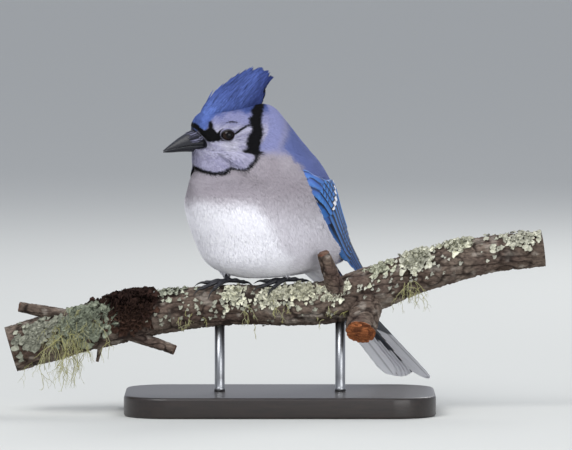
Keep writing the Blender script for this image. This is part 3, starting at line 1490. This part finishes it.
class Head:
    """The hard and bare parts of the head."""

    def __init__(self, rng: np.random.Generator) -> None:
        """Keeps the random source."""
        self.rng = rng

    @staticmethod
    def bill(batch: Batch, upper: bool) -> None:
        """Adds one half of the bill, with its hooked ridge, its cutting edge and the seam of the mouth."""
        s, u = np.meshgrid(np.linspace(0, 7, 70), np.linspace(0, np.pi, 34), indexing="ij")
        f, culmen, mouth, chin, half = np.moveaxis(along(BILL, s), -1, 0)
        floor = mouth + 0.13 if upper else mouth - 0.13
        roof = np.maximum(culmen, mouth + 0.5) if upper else np.minimum(chin, mouth - 0.5)
        side = half * np.cos(u) * (1 - 0.12 * np.sin(u) ** 2)
        z = floor + (roof - floor) * np.sin(u) ** 0.9
        ring = turned_point(f, side, z)
        closed = turned_point(
            f[:, :1], half[:, :1] * np.linspace(-0.86, 0.86, 9)[None],
            floor[:, :1] + 0 * f[:, :9] + (0.05 if upper else -0.05)
        )
        rings = np.concatenate([ring, closed], 1)
        tone = noise(rings, 3.0, 4) * 0.12 + noise(rings, 0.7, 8) * 0.06
        base = linear("#1a1b21")
        pale = smooth(0.6, 1.0, np.sin(u)) * (0.5 if upper else 0.2)
        pale = np.concatenate([pale, pale[:, :9] * 0], 1)
        colours = blend(np.broadcast_to(base, rings.shape), linear("#383b45"), pale) * (1 + tone[..., None])
        add_tube(batch, rings if not upper else rings[:, ::-1], colours if not upper else colours[:, ::-1])

    @staticmethod
    def eye(side: int) -> bpy.types.Object:
        """Adds an eye: a wet dark ball with a faintly browner iris."""
        bm = bmesh.new()
        bmesh.ops.create_uvsphere(bm, u_segments=64, v_segments=40, radius=EYE["radius"] * MM)
        centre = turned_point(EYE["f"], side * EYE["half"], EYE["z"]) * MM
        out = turned_point(EYE["f"] - 0.6, side * (EYE["half"] + 5), EYE["z"]) * MM - centre
        turn = Vector((0, 0, 1)).rotation_difference(Vector(out))
        for vert in bm.verts:
            vert.co = turn @ vert.co + Vector(centre)
        mesh = bpy.data.meshes.new("eye")
        bm.to_mesh(mesh)
        bm.free()
        for poly in mesh.polygons:
            poly.use_smooth = True
        direction = np.array(Vector(out).normalized())
        co = np.array([v.co for v in mesh.vertices]) - centre
        facing = (co / np.linalg.norm(co, axis=1, keepdims=True)) @ direction
        iris = blend(
            np.broadcast_to(linear("#1d120c"), co.shape), linear("#050406"), smooth(0.84, 0.87, facing)
        )
        iris = blend(iris, linear("#0b0808"), smooth(0.55, 0.45, facing))
        paint = mesh.color_attributes.new("Col", "FLOAT_COLOR", "POINT")
        paint.data.foreach_set(
            "color", np.concatenate([iris, np.ones((len(iris), 1))], 1).astype(np.float32).ravel()
        )
        name = "eye_left_ball" if side > 0 else "eye_right_ball"
        piece = bpy.data.objects.new(name, mesh)
        bpy.context.scene.collection.objects.link(piece)
        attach(piece, "root")
        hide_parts("eye_left" if side > 0 else "eye_right")
        return piece

    @staticmethod
    def lids(batch: Batch, side: int) -> None:
        """Adds the lids: a beaded rim over the ball with an almond opening, sloping back to the skin."""
        turn, r = np.meshgrid(
            np.linspace(0, 2 * np.pi, 72, endpoint=False), np.linspace(0, 1, 12), indexing="ij"
        )
        up = np.sin(turn)
        open_f = 3.62 * (1 + 0.05 * np.cos(turn))
        open_z = np.where(up > 0, 2.55, 2.75)
        start = 1 / np.sqrt((np.cos(turn) / open_f) ** 2 + (up / open_z) ** 2)
        out = start + (5.4 - start) * r
        ball = np.sqrt(np.maximum(4.28**2 - np.minimum(out, 4.1) ** 2, 0.1))
        high = ball * (1 - smooth(0.3, 1.0, r)) + (0.6 - 0.8 * smooth(0.5, 1, r)) * smooth(0.3, 1.0, r)
        high = high + 0.14 * np.exp(-((r - 0.06) / 0.08) ** 2) * (1 + 0.35 * np.sin(turn * 26))
        p = turned_point(EYE["f"] + out * np.cos(turn), side * (EYE["half"] + high), EYE["z"] + out * up)
        dark = smooth(0.42, 0.25, r)
        pale = smooth(-0.2, -0.6, up) * smooth(0.1, 0.25, r) * smooth(0.75, 0.5, r)
        colour = blend(
            np.broadcast_to(Tint.FACE_SHADE.rgb, p.shape), linear("#17161a"),
            np.maximum(dark, 0.5 * smooth(0.3, 0.9, np.cos(turn)))
        )
        colour = blend(colour, linear("#8d8b9c"), 0.75 * pale)
        rows, cols = r.shape
        faces = grid_faces(cols, rows, True).reshape(-1, 4)
        batch.add(p.transpose(1, 0, 2), faces if side < 0 else faces[:, ::-1], colour.transpose(1, 0, 2))

    def bristles(self, batch: Batch, count: int = 170) -> None:
        """Adds the bristles that lie forward over the nostrils."""
        for side in (1, -1):
            share = self.rng.uniform(0, 1, count)
            f0 = 24.5 + self.rng.uniform(-1.5, 2.5, count)
            z0 = 89.6 - 6.6 * share + self.rng.normal(0, 0.3, count)
            size = self.rng.uniform(5, 8.5, count) * (1 - 0.3 * share)
            t = np.linspace(0, 1, 6)[None]
            f = f0[:, None] + size[:, None] * t
            z = z0[:, None] - (2.6 - 1.5 * share)[:, None] * t
            place = np.interp(f, BILL[:, 0], np.arange(8))
            _, culmen, mouth, _, half = np.moveaxis(along(BILL, place), -1, 0)
            level = np.clip((z - mouth) / np.maximum(culmen - mouth, 0.5), 0, 1)
            wall = half * np.sqrt(np.clip(1 - level**2.2, 0.02, 1))
            lateral = wall + 0.3 + 0.9 * (1 - t) + self.rng.uniform(0, 0.35, count)[:, None]
            path = turned_point(f, side * lateral, np.minimum(z, culmen + 0.5))
            way = np.gradient(path, axis=1)
            way /= np.linalg.norm(way, axis=-1, keepdims=True)
            outward = turned_point(f, side * (lateral + 1), z) - turned_point(f, side * lateral, z)
            across = np.cross(way, outward)
            wide = (0.3 * np.array([1, 1, 0.85, 0.65, 0.4, 0.05]))[None, :, None]
            points = np.stack([path - across * wide, path + outward * 0.1, path + across * wide], 2)
            faces = (grid_faces(6, 3)[None] + (np.arange(count) * 18)[:, None, None]).reshape(-1, 4)
            tone = self.rng.uniform(0, 1, count) ** 2
            colour = blend(np.broadcast_to(linear("#15151b"), (count, 3)), linear("#83839c"), tone)
            shade = np.linspace(0.8, 1.1, 6)[None, :, None, None]
            uv = np.stack([0.5 + side * 0.3 * share, 0.02 + 0.002 * size], -1)
            patch = np.stack(np.meshgrid(np.linspace(-1, 1, 6), [-1, 0, 1], indexing="ij")[::-1], -1) * 0.0015
            batch.add(
                points, faces, np.clip(colour[:, None, None] * shade, 0, 1) + np.zeros((1, 1, 3, 1)),
                {"OFBake": uv[:, None, None] + patch[None]}
            )


def branch_at(x: np.ndarray) -> np.ndarray:
    """The branch's y, z and radius at a place along x, from a finely sampled curve."""
    fine = along(BRANCH, np.linspace(0, len(BRANCH) - 1, 2000))
    return np.stack([np.interp(x, fine[:, 0], fine[:, k]) for k in (1, 2, 3)], -1)


@dataclass(frozen=True)
class Foot:
    """Where a foot stands and how its toes spread, in degrees from the way across the branch."""

    name: str
    x: float
    middle: float
    inner: float
    outer: float
    thigh: tuple[float, float]


FEET = (Foot("right", -30.2, 58, 36, 80, (4, -15)), Foot("left", 4, 58, 80, 36, (-16, 15)))


class Feet:
    """Toes, claws, lower legs and feathered shins."""

    def __init__(self, rng: np.random.Generator) -> None:
        """Keeps the random source."""
        self.rng = rng

    @staticmethod
    def toe(batch: Batch, x: float, heading: float, length: float, claw: float = 6.5) -> None:
        """Adds one toe with scutes above, pads below and a curved claw.

        Args:
            batch: where it goes.
            x: the foot's place along the branch.
            heading: of the toe, in degrees.
            length: of the toe without its claw.
            claw: length of the claw.
        """
        turn = math.radians(heading)
        total = length + claw
        gone = np.linspace(0, total, 110)
        away = x - gone * math.sin(turn)
        y, z, r = branch_at(away).T
        nail = gone > length
        share = np.where(nail, (gone - length) / claw, gone / length)
        pads = 0.13 * np.cos(share * 4 * np.pi)
        thick = np.where(nail, 1.0 - 0.85 * share, 1.5 - 0.38 * share + pads)
        arch = np.where(nail, 0.9 * np.sin(share * np.pi), 0)
        out = r + 0.2 + 0.32 + thick + arch
        round_ = gone * math.cos(turn) / out
        path = np.stack([away, y - out * np.sin(round_), z + out * np.cos(round_)], 1)
        sides = 20
        angle = np.linspace(0, 2 * np.pi, sides, endpoint=False)
        scute = (
            0.1 * (np.abs(np.sin(gone * math.pi / 1.25))[:, None] ** 0.5 - 0.6)
            * np.where(nail, 0, 1)[:, None]
        )
        rings = tube_points(path, thick * 0.96, sides, scute * (0.6 + 0.4 * np.cos(angle))[None])
        tone = linear("#26262c")
        colours = np.broadcast_to(tone, rings.shape) * (1 + 2.2 * scute[..., None])
        colours = np.where(nail[:, None, None], linear("#141417"), colours)
        add_tube(batch, rings[:, ::-1], np.clip(colours, 0, 1))

    def foot(self, batch: Batch, foot: Foot) -> None:
        """Adds the three front toes, the hind toe and the ball where they meet."""
        for heading, length in (
            (foot.middle, 17), (foot.inner, 13), (foot.outer, 13), (foot.middle + 180, 11)
        ):
            self.toe(batch, foot.x, heading, length)
        y, z, r = branch_at(np.array(foot.x))
        centre = np.array([foot.x, y, z + r + 0.32 + 2.0])
        path = centre + np.array([[0, 0, -1.7], [0, 0, -1], [0, 0, 0], [0, 0, 1], [0, 0, 1.8]])
        add_tube(batch, tube_points(path, np.array([0.6, 1.5, 1.85, 1.5, 0.8]), 20), linear("#232329"))

    def leg(self, skin: Batch, scales: Batch, foot: Foot) -> None:
        """Adds the scaled lower leg and the feathered shin above it."""
        y, z, r = branch_at(np.array(foot.x))
        joint = np.array([foot.x, y, z + r + 0.32 + 2.1])
        top = bird_point(foot.thigh[0], foot.thigh[1], 17)
        t = np.linspace(0, 1, 40)[:, None]
        path = joint + (top - joint) * t
        lower = path[2:22]
        add_tube(
            scales, tube_points(lower, 1.35 + 0.12 * np.abs(np.sin(t[2:22, 0] * 60)), 16), linear("#27272d")
        )
        radii = np.interp(t[10:, 0], [0.25, 0.5, 0.75, 1], [1.6, 3.2, 5.2, 6.0])
        rings = tube_points(path[10:], radii * 0.9, 24)
        add_tube(skin, rings, Tint.WHITE.rgb * 0.75)
        count = 420
        at = self.rng.uniform(0.3, 1.0, count)
        turn = self.rng.uniform(0, 2 * np.pi, count)
        way = (joint - top) / np.linalg.norm(joint - top)
        side = np.cross(way, [0, 1, 0])
        side /= np.linalg.norm(side)
        other = np.cross(way, side)
        out = side * np.cos(turn)[:, None] + other * np.sin(turn)[:, None]
        ring = np.interp(at, [0.25, 0.5, 0.75, 1], [1.6, 3.2, 5.2, 6.0]) * 0.9
        root = joint + (top - joint) * at[:, None] + out * ring[:, None]
        size = self.rng.uniform(3, 5, count)
        across = np.cross(out, way) * 0.45
        stations = []
        for s, w, h in ((0, 0.6, -0.2), (0.5, 1, 0.25), (1.0, 0, 0.2)):
            mid = root + way * (size * s)[:, None] + out * h
            stations += [mid - across * w, mid + across * w] if w else [mid]
        points = np.stack(stations, 1)
        offset = (np.arange(count) * 5)[:, None, None]
        start = skin.count
        skin.add(
            points, (np.array([[[0, 2, 3, 1]]]) + offset).reshape(-1, 4),
            np.clip(Tint.WHITE.rgb * self.rng.uniform(0.7, 1, (count, 1, 1)), 0, 1)
        )
        skin.faces.append((np.array([[[2, 4, 3]]]) + offset).reshape(-1, 3) + start)


# Branch, lichens and stand


STUBS = (
    ((34, -7, 68), (25, -16.5, 93), (6.6, 4.2)),
    ((51, 0, 66), (46.5, -19, 47.5), (10, 9.6)),
    ((-112, -4, 54), (-151, -9, 61.5), (4.8, 3.4)),
    ((-92, -3, 47), (-61, -8, 36.5), (4.2, 3.2)),
    ((-103, -2, 44), (-106, -4, 29.5), (2.2, 1)),
)


class Perch:
    """The cut length of branch with its stubs and lichens."""

    def __init__(self, rng: np.random.Generator) -> None:
        """Keeps the random source."""
        self.rng = rng

    @staticmethod
    def bark(rings: np.ndarray, path: np.ndarray, scale: float = 1.0) -> tuple[np.ndarray, np.ndarray]:
        """Roughens a tube into bark.

        Args:
            rings: its rings of points.
            path: its centre line.
            scale: how deep the relief is.
        Returns:
            The moved points, only ever inwards, and their colours.
        """
        out = rings - path[:, None]
        reach = np.linalg.norm(out, axis=-1, keepdims=True)
        plates = np.abs(noise(rings * [0.55, 1, 1], 5.5, 31))
        fine = noise(rings, 1.5, 32)
        lumps = noise(rings, 16, 33)
        cracks = smooth(0.16, 0.02, plates)
        scaly = np.abs(noise(rings * [0.35, 1, 1], 2.4, 37))
        rough = (
            -0.8 - 0.6 * cracks + 0.3 * fine + 0.5 * lumps + 0.35 * noise(rings, 0.8, 36)
            - 0.45 * smooth(0.14, 0.0, scaly)
        ) * scale
        rough = np.minimum(rough, -0.05)
        colour = blend(np.broadcast_to(linear("#4f4037"), rings.shape), linear("#74685e"), 0.5 + 0.5 * lumps)
        colour = blend(colour, linear("#4a3b36"), smooth(0.0, 0.8, noise(rings, 9, 34)) * 0.7)
        colour = blend(colour, linear("#241b18"), 0.85 * cracks)
        colour = blend(colour, linear("#9d958b"), smooth(0.2, 0.7, noise(rings, 4, 35)) * 0.5)
        colour = blend(colour, linear("#2c211c"), 0.5 * smooth(0.14, 0.02, scaly))
        return rings + out / reach * rough[..., None], colour * (1 + 0.22 * fine[..., None])

    def wood(self, batch: Batch) -> None:
        """Adds the branch and its stubs with their cut or broken ends."""
        s = np.linspace(0, len(BRANCH) - 1, 520)
        rows = along(BRANCH, s)
        rings = tube_points(rows[:, :3], rows[:, 3], 110)
        rings, colours = self.bark(rings, rows[:, :3])
        add_tube(batch, rings[:, ::-1], colours[:, ::-1])
        for start, end, (r0, r1) in STUBS:
            t = np.linspace(0, 1, 90)[:, None]
            path = np.array(start) + (np.array(end) - np.array(start)) * t
            radii = r0 + (r1 - r0) * t[:, 0]
            tube, paint = self.bark(tube_points(path, radii, 64), path, min(1.0, r1 / 7))
            cut = linear("#a8663f") if r1 > 5 else linear("#6d5446")
            end_ring = smooth(0.985, 1.0, t)[..., None]
            add_tube(batch, tube[:, ::-1], (paint + (cut - paint) * end_ring)[:, ::-1])
            self.end_grain(batch, path[-1], path[-1] - path[-2], tube[-1], cut)

    def end_grain(
        self, batch: Batch, centre: np.ndarray, way: np.ndarray, rim: np.ndarray, cut: np.ndarray
    ) -> None:
        """Closes a stub's end with rings of growth and a ragged face that stays inside the stub's length."""
        share = np.linspace(0, 1, 18)[:, None, None]
        way = way / np.linalg.norm(way)
        points = centre + (rim[None] - centre) * share
        rough = noise(points, 1.3, 41) * 0.25 + noise(points, 3.5, 42) * 0.45
        points = points + way * (rough[..., None] * smooth(1.0, 0.8, share) - 0.2 * (1 - share) + 0.08)
        tone = (
            0.75 + 0.2 * np.sin(share[..., 0] * 42 + 2 * noise(points, 6, 43)) + 0.25 * noise(points, 2.0, 44)
        )
        colours = np.clip(cut * tone[..., None], 0, 1)
        colours = blend(colours, linear("#5c3424"), 0.7 * smooth(0.1, 0.6, noise(points, 4, 45)))
        batch.add(points, grid_faces(18, rim.shape[0], True), colours)

    def on_bark(self, x: np.ndarray, turn: np.ndarray, high: np.ndarray) -> np.ndarray:
        """Points on the branch, turn 0 towards the viewer and pi/2 at the top."""
        y, z, r = np.moveaxis(branch_at(x), -1, 0)
        r = r - 0.9 + high
        return np.stack([x, y - r * np.cos(turn), z + r * np.sin(turn)], -1)

    def lobes(
        self, batch: Batch, x0: np.ndarray, turn0: np.ndarray, size: np.ndarray, rise: np.ndarray,
        colour: np.ndarray, under: np.ndarray
    ) -> None:
        """Adds small curled leaf lobes of foliose lichen.

        Args:
            batch: where they go.
            x0: places along the branch.
            turn0: places round it.
            size: of each lobe.
            rise: how far each one's edge lifts off.
            colour: upper colour of each.
            under: colour of their edges and undersides.
        """
        n = len(x0)
        ring = np.linspace(0, 2 * np.pi, 11, endpoint=False)[None, :, None]
        r = np.array([0.02, 0.5, 0.85, 1.0])[None, None, :]
        spin = self.rng.uniform(0, 2 * np.pi, n)[:, None, None]
        frill = 1 + 0.24 * np.sin(3 * ring + spin) + 0.16 * np.sin(7 * ring + 2 * spin)
        out = size[:, None, None] * r * frill
        dx, dt = out * np.cos(ring + spin), out * np.sin(ring + spin)
        tip = rise[:, None, None] * (r**2.2) * (0.65 + 0.55 * np.sin(2 * ring + 3 * spin)) + 0.25
        radius = branch_at(x0)[:, 2][:, None, None]
        p = self.on_bark(
            x0[:, None, None] + dx, turn0[:, None, None] + dt / radius,
            tip + self.rng.uniform(0, 0.5, n)[:, None, None]
        )
        m = 11
        j = np.arange(m)
        k = (j + 1) % m
        quads = np.concatenate(
            [np.stack([j * 4 + c, j * 4 + c + 1, k * 4 + c + 1, k * 4 + c], 1) for c in range(3)]
        )
        faces = (quads[None] + (np.arange(n) * m * 4)[:, None, None]).reshape(-1, 4)
        shade = np.broadcast_to(smooth(0.8, 1.0, r)[..., None], p.shape)
        base = colour[:, None, None] * (1 + self.rng.normal(0, 0.12, (n, 1, 1, 1)))
        batch.add(p, faces, np.clip(base + (under - base) * shade * 0.7, 0, 1))

    def foliose(self, batch: Batch) -> None:
        """Adds every clump of leafy lichen: dark brown, grey-green and pale crusts."""
        clumps = (  # x, turn in degrees, spread along and round, count, size, rise, colour, edge
            (-88, 62, 13, 40, 420, 2.9, 3.0, "#3d2b25", "#19110f"),
            (-86, 12, 9, 30, 200, 2.6, 2.4, "#4c372d", "#1d1412"),
            (-113, 24, 12, 36, 300, 2.6, 2.0, "#9aa08d", "#5b6152"),
            (-140, 26, 12, 36, 110, 2.2, 1.4, "#98998a", "#5f6055"),
            (-62, 70, 10, 22, 50, 1.6, 1.2, "#a3a695", "#6a6d5f"),
            (-26, 34, 7, 26, 70, 1.5, 1.3, "#d5d4c0", "#84856f"),
            (-4, 30, 9, 22, 110, 1.6, 1.5, "#d8d6c4", "#8b8b74"),
            (14, 44, 9, 26, 130, 1.6, 1.5, "#d2d0bc", "#83836c"),
            (32, 28, 7, 20, 90, 1.5, 1.4, "#d6d5c3", "#83836c"),
            (58, 58, 8, 26, 70, 1.5, 1.3, "#c4c5b0", "#7c7d68"),
            (79, 54, 7, 36, 190, 2.0, 2.2, "#dbdaca", "#8c8d77"),
            (102, 66, 8, 26, 110, 1.9, 1.9, "#d3d2c0", "#84856f"),
            (138, 50, 12, 36, 90, 1.7, 1.1, "#c0bfae", "#77776a"),
            (70, 10, 40, 40, 60, 1.1, 0.5, "#a8a79a", "#74736a"),
            (-30, 0, 60, 40, 110, 1.1, 0.5, "#9d9d8e", "#6f6f66"),
        )
        for x, turn, along_, round_, count, size, rise, colour, edge in clumps:
            x0 = np.clip(x + self.rng.normal(0, along_ * 0.55, count), -153, 150)
            turn0 = np.radians(turn + self.rng.normal(0, round_ * 0.6, count))
            tint = linear(colour) * self.rng.uniform(0.75, 1.2, (count, 1))
            grow = self.rng.uniform(0.5, 1.15, count)
            self.lobes(batch, x0, turn0, size * grow, rise * grow, tint, linear(edge))

    def strands(self, batch: Batch) -> None:
        """Adds beard lichen: forked threads that hang from the branch."""
        beards = (  # x, turn, spread, threads, length
            (-125, 8, 7, 46, 34),
            (-120, 40, 6, 26, 18),
            (75, -28, 3, 12, 22),
            (-18, -30, 3, 5, 12),
            (-52, -20, 4, 8, 10),
            (-2, 0, 5, 7, 9),
            (30, -10, 5, 6, 8),
        )
        for x, turn, spread, count, length in beards:
            for _ in range(count):
                x0 = x + self.rng.normal(0, spread)
                turn0 = math.radians(turn + self.rng.normal(0, 16))
                start = self.on_bark(np.array(x0), np.array(turn0), np.array(0.2))
                size = length * self.rng.uniform(0.35, 1.0)
                self.thread(batch, start, size, self.rng.uniform(0.14, 0.26), 2)

    def thread(self, batch: Batch, start: np.ndarray, size: float, radius: float, forks: int) -> None:
        """Adds one thread, and forks of it, wandering as it hangs."""
        steps = 9
        path = [np.array(start, float)]
        way = np.array([self.rng.normal(0, 0.6), -abs(self.rng.normal(0.5, 0.4)), self.rng.normal(-0.2, 0.4)])
        for _ in range(steps):
            way = way + self.rng.normal(0, 0.33, 3) + np.array([0, 0.03, -0.34])
            way /= np.linalg.norm(way)
            path.append(path[-1] + way * size / steps)
        path = np.array(path)
        low = 14.0
        path[:, 2] = np.maximum(path[:, 2], low)
        tint = blend(linear("#a6a267"), linear("#a09f80"), np.array(self.rng.uniform(0, 1)))
        add_tube(
            batch, tube_points(path, np.linspace(radius, radius * 0.4, len(path)), 5),
            tint * self.rng.uniform(0.75, 1.15)
        )
        if forks:
            for _ in range(2):
                i = self.rng.integers(2, steps - 1)
                self.thread(batch, path[i], size * 0.45, radius * 0.7, forks - 1)


class Stand:
    """The plain display stand."""

    @staticmethod
    def base(batch: Batch) -> None:
        """Adds the flat base, a rounded rectangle with a softened edge."""
        length, depth, height, corner, chamfer = 180, 110, 12, 26, 1.6
        turn = np.linspace(0, 2 * np.pi, 128, endpoint=False) + 2 * np.pi / 256
        sx, sy = np.sign(np.cos(turn)), np.sign(np.sin(turn))

        def outline(inset: float, z: float) -> np.ndarray:
            """The base's edge at one height, drawn in by an inset."""
            r = corner - inset
            x = sx * (length / 2 - corner) + r * np.cos(turn)
            y = sy * (depth / 2 - corner) + r * np.sin(turn)
            return np.stack([x, y, np.full_like(x, z)], 1)

        bend = np.linspace(0, np.pi / 2, 7)
        levels = (
            [outline(chamfer * 1.0, 0.0)]
            + [outline(chamfer * (1 - np.sin(b)), chamfer * (1 - np.cos(b))) for b in bend[1:]]
        )
        levels += [outline(chamfer * (1 - np.cos(b)), height - chamfer * (1 - np.sin(b))) for b in bend]
        levels += [outline(chamfer + k, height) for k in (3, 8, 16, 24)]
        add_tube(batch, np.stack(levels), linear("#1d1512"))

    @staticmethod
    def rod(batch: Batch, x: float) -> None:
        """Adds one rod with a low collar at its foot."""
        y, z, _ = branch_at(np.array(x))
        levels = np.array([12.05, 12.05, 13.6, 14.2, 14.4, 20, z - 8])
        radii = np.array([3.15, 3.19, 3.19, 3.0, 2.9, 2.9, 2.9])
        path = np.stack([np.full(7, x), np.full(7, float(y)), levels + np.arange(7) * 1e-3], 1)
        add_tube(batch, tube_points(path, radii, 48), linear("#9a9c9f"))


# Camera, light and floor


def make_camera() -> None:
    """Sets a long-lens camera a little above level, on the photograph's framing."""
    width = PHOTO[0] * 0.58
    rise = math.radians(3)
    distance = 4.0
    target = Vector((3.5, 0, 108.6)) * MM
    data = bpy.data.cameras.new("camera")
    data.sensor_width = 36
    data.lens = 36 * distance / (width * MM)
    data.clip_end = 50
    camera = bpy.data.objects.new("camera", data)
    bpy.context.scene.collection.objects.link(camera)
    camera.location = target + Vector((0, -math.cos(rise), math.sin(rise))) * distance
    camera.rotation_euler = (math.pi / 2 - rise, 0, 0)
    bpy.context.scene.camera = camera


def make_light() -> None:
    """Adds soft studio light: a broad key from the upper left, a fill, a rim and a pale room."""
    world = bpy.data.worlds.new("room")
    bpy.context.scene.world = world
    world.use_nodes = True
    world.node_tree.nodes["Background"].inputs["Color"].default_value = (0.86, 0.9, 1.0, 1)
    world.node_tree.nodes["Background"].inputs["Strength"].default_value = 0.6
    lamps = (
        ("key", (-0.9, -1.5, 1.8), 1.4, 38), ("fill", (1.0, -1.8, 0.2), 1.5, 24),
        ("rim", (0.7, 1.5, 1.4), 1.0, 16)
    )
    for name, place, size, power in lamps:
        data = bpy.data.lights.new(name, "AREA")
        data.energy = power
        data.size = size
        lamp = bpy.data.objects.new(name, data)
        lamp.location = place
        lamp.rotation_euler = (Vector((0, 0, 0.1)) - Vector(place)).to_track_quat("-Z", "Y").to_euler()
        bpy.context.scene.collection.objects.link(lamp)
    bpy.context.scene.view_settings.view_transform = "Standard"


def make_floor() -> None:
    """Adds a wide, plain, pale floor."""
    points = np.array([[-30, -30, 0], [30, -30, 0], [30, 30, 0], [-30, 30, 0]], float)
    mesh = bpy.data.meshes.new("floor")
    mesh.from_pydata(points.tolist(), [], [(0, 1, 2, 3)])
    mesh.materials.append(
        Shader(Finish("matt studio paper", "#cfd0cc", 0.9, 0.02, 0.6, specular=0.1)).colours().relief().done()
    )
    floor = bpy.data.objects.new("floor", mesh)
    bpy.context.scene.collection.objects.link(floor)


def make_bird(rng: np.random.Generator) -> None:
    """Builds every piece of the bird."""
    plumage_look = Shader(
        Finish(
            "contour feathers", roughness=0.8, bump=0.06, grain=0.35, sheen=0.04, specular=0.15, painted=True
        )
    ).colours().relief().done()
    vane_look = Shader(
        Finish("flight feather vanes", roughness=0.5, bump=0.05, sheen=0.03, specular=0.3, painted=True)
    ).colours().barbs().done()
    horn_look = Shader(
        Finish("slate horn", roughness=0.42, bump=0.03, grain=0.5, coat=0.06, specular=0.35, painted=True)
    ).colours().relief().done()
    scale_look = Shader(
        Finish("scaled skin", roughness=0.5, bump=0.04, grain=0.4, coat=0.1, painted=True)
    ).colours().relief().done()
    eye_look = Shader(
        Finish("wet eye", roughness=0.12, bump=0.002, coat=0.12, specular=0.12, painted=True)
    ).colours().relief().done()

    plumage = Plumage(rng)
    skin = Batch()
    plumage.skin(skin)
    skin.build("skin", plumage_look, ("torso", "neck", "head"), "breast_plumage")
    coats = (  # name, count, rings, length, width, lift
        ("coat_face", 19000, 0.0, 3.2, 3.2, 0.5, 0.3),
        ("coat_head", 19500, 2.6, 5.4, 4.4, 0.6, 0.3),
        ("coat_neck", 19500, 4.9, 8.2, 7.0, 0.65, 0.35),
        ("coat_breast", 19500, 7.6, 10.6, 8.5, 0.75, 0.3),
        ("coat_flank", 19500, 10.2, 13.0, 8.5, 0.8, 0.3),
        ("coat_belly", 19500, 12.6, 17.0, 8.0, 0.8, 0.35),
    )
    for name, count, low, high, length, width, lift in coats:
        batch = Batch()
        plumage.tufts(batch, count, low, high, length, width, lift)
        batch.build(name, plumage_look, (), "breast_plumage")

    wings = Wings(rng)
    for side, name in ((1, "left"), (-1, "right")):
        core = Batch()
        wings.core(core, side)
        core.build(f"wing_{name}_core", plumage_look, (), "wing_feathers")
        vanes = Batch()
        for tier in TIERS:
            wings.tier(vanes, side, tier)
        vanes.build(f"wing_{name}_feathers", vane_look, (f"wing_{name}",), "wing_feathers")
    tail = Tail(rng)
    core = Batch()
    tail.core(core)
    core.build("tail_core", plumage_look, (), "tail_feathers")
    vanes = Batch()
    tail.feathers(vanes)
    tail.coverts(vanes)
    vanes.build("tail_feathers", vane_look, ("tail",), "tail_feathers")

    crest = Crest(rng)
    core = Batch()
    crest.wedge(core)
    core.build("crest_core", plumage_look, (), "crown_plumage")
    feathers = Batch()
    crest.feathers(feathers)
    feathers.build("crest_feathers", plumage_look, (), "crown_plumage")

    head = Head(rng)
    for upper, name in ((True, "upper"), (False, "lower")):
        batch = Batch()
        head.bill(batch, upper)
        batch.build(f"bill_{name}_horn", horn_look, (f"bill_{name}",), "bill_horn")
    bristles = Batch()
    head.bristles(bristles)
    bristles.build("nasal_bristles", plumage_look, (), "crown_plumage")
    lids = Batch()
    for side in (1, -1):
        head.lids(lids, side)
        head.eye(side).data.materials.append(eye_look)
    lids.build("lids", scale_look, (), "crown_plumage")

    feet = Feet(rng)
    for foot in FEET:
        scales, shin = Batch(), Batch()
        feet.foot(scales, foot)
        feet.leg(shin, scales, foot)
        scales.build(f"foot_{foot.name}_scales", scale_look, (f"foot_{foot.name}",), "foot_scales")
        shin.build(f"leg_{foot.name}_feathers", plumage_look, (f"leg_{foot.name}",), "breast_plumage")


def make_perch(rng: np.random.Generator) -> None:
    """Builds the branch, its lichens and the stand."""
    bark_look = Shader(
        Finish("weathered bark", roughness=0.9, bump=0.45, grain=0.8, specular=0.2, painted=True)
    ).colours().mottle(1.3, 0.4, (0.5, 1, 1)).mottle(7, 0.2).relief().done()
    lichen_look = Shader(
        Finish("leafy lichen", roughness=0.92, bump=0.12, grain=0.5, specular=0.15, painted=True)
    ).colours().mottle(0.9, 0.18).relief().done()
    perch = Perch(rng)
    wood = Batch()
    perch.wood(wood)
    wood.build("branch_bark", bark_look, ("perch_branch",), "bark")
    lichen = Batch()
    perch.foliose(lichen)
    lichen.build("lichen_leaves", lichen_look, (), "bark")
    threads = Batch()
    perch.strands(threads)
    threads.build("lichen_threads", lichen_look, (), "bark")
    base_look = Shader(
        Finish("dark stained oak", "#1f1612", 0.42, 0.04, 0.6, coat=0.25)
    ).colours().mottle(2.0, 0.35, (0.12, 1.6, 1.0)).relief((0.1, 1.5, 1)).done()
    rod_look = Shader(
        Finish("brushed steel", "#9a9c9f", 0.34, 0.01, 0.2, metallic=1.0)
    ).colours().relief((1, 1, 0.05)).done()
    base = Batch()
    Stand.base(base)
    base.build("stand_base_top", base_look, ("stand_base",), "base_wood")
    for name, x in (("left", -ROD_X), ("right", ROD_X)):
        rod = Batch()
        Stand.rod(rod, x)
        rod.build(f"stand_rod_{name}_steel", rod_look, (f"stand_rod_{name}",), "rod_steel")


def main() -> None:
    """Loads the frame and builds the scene."""
    logging.basicConfig(level=logging.INFO, format="%(message)s")
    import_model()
    make_camera()
    make_light()
    make_floor()
    make_bird(np.random.default_rng(SEED))
    make_perch(np.random.default_rng(SEED + 1))


if __name__ == "__main__":
    main()
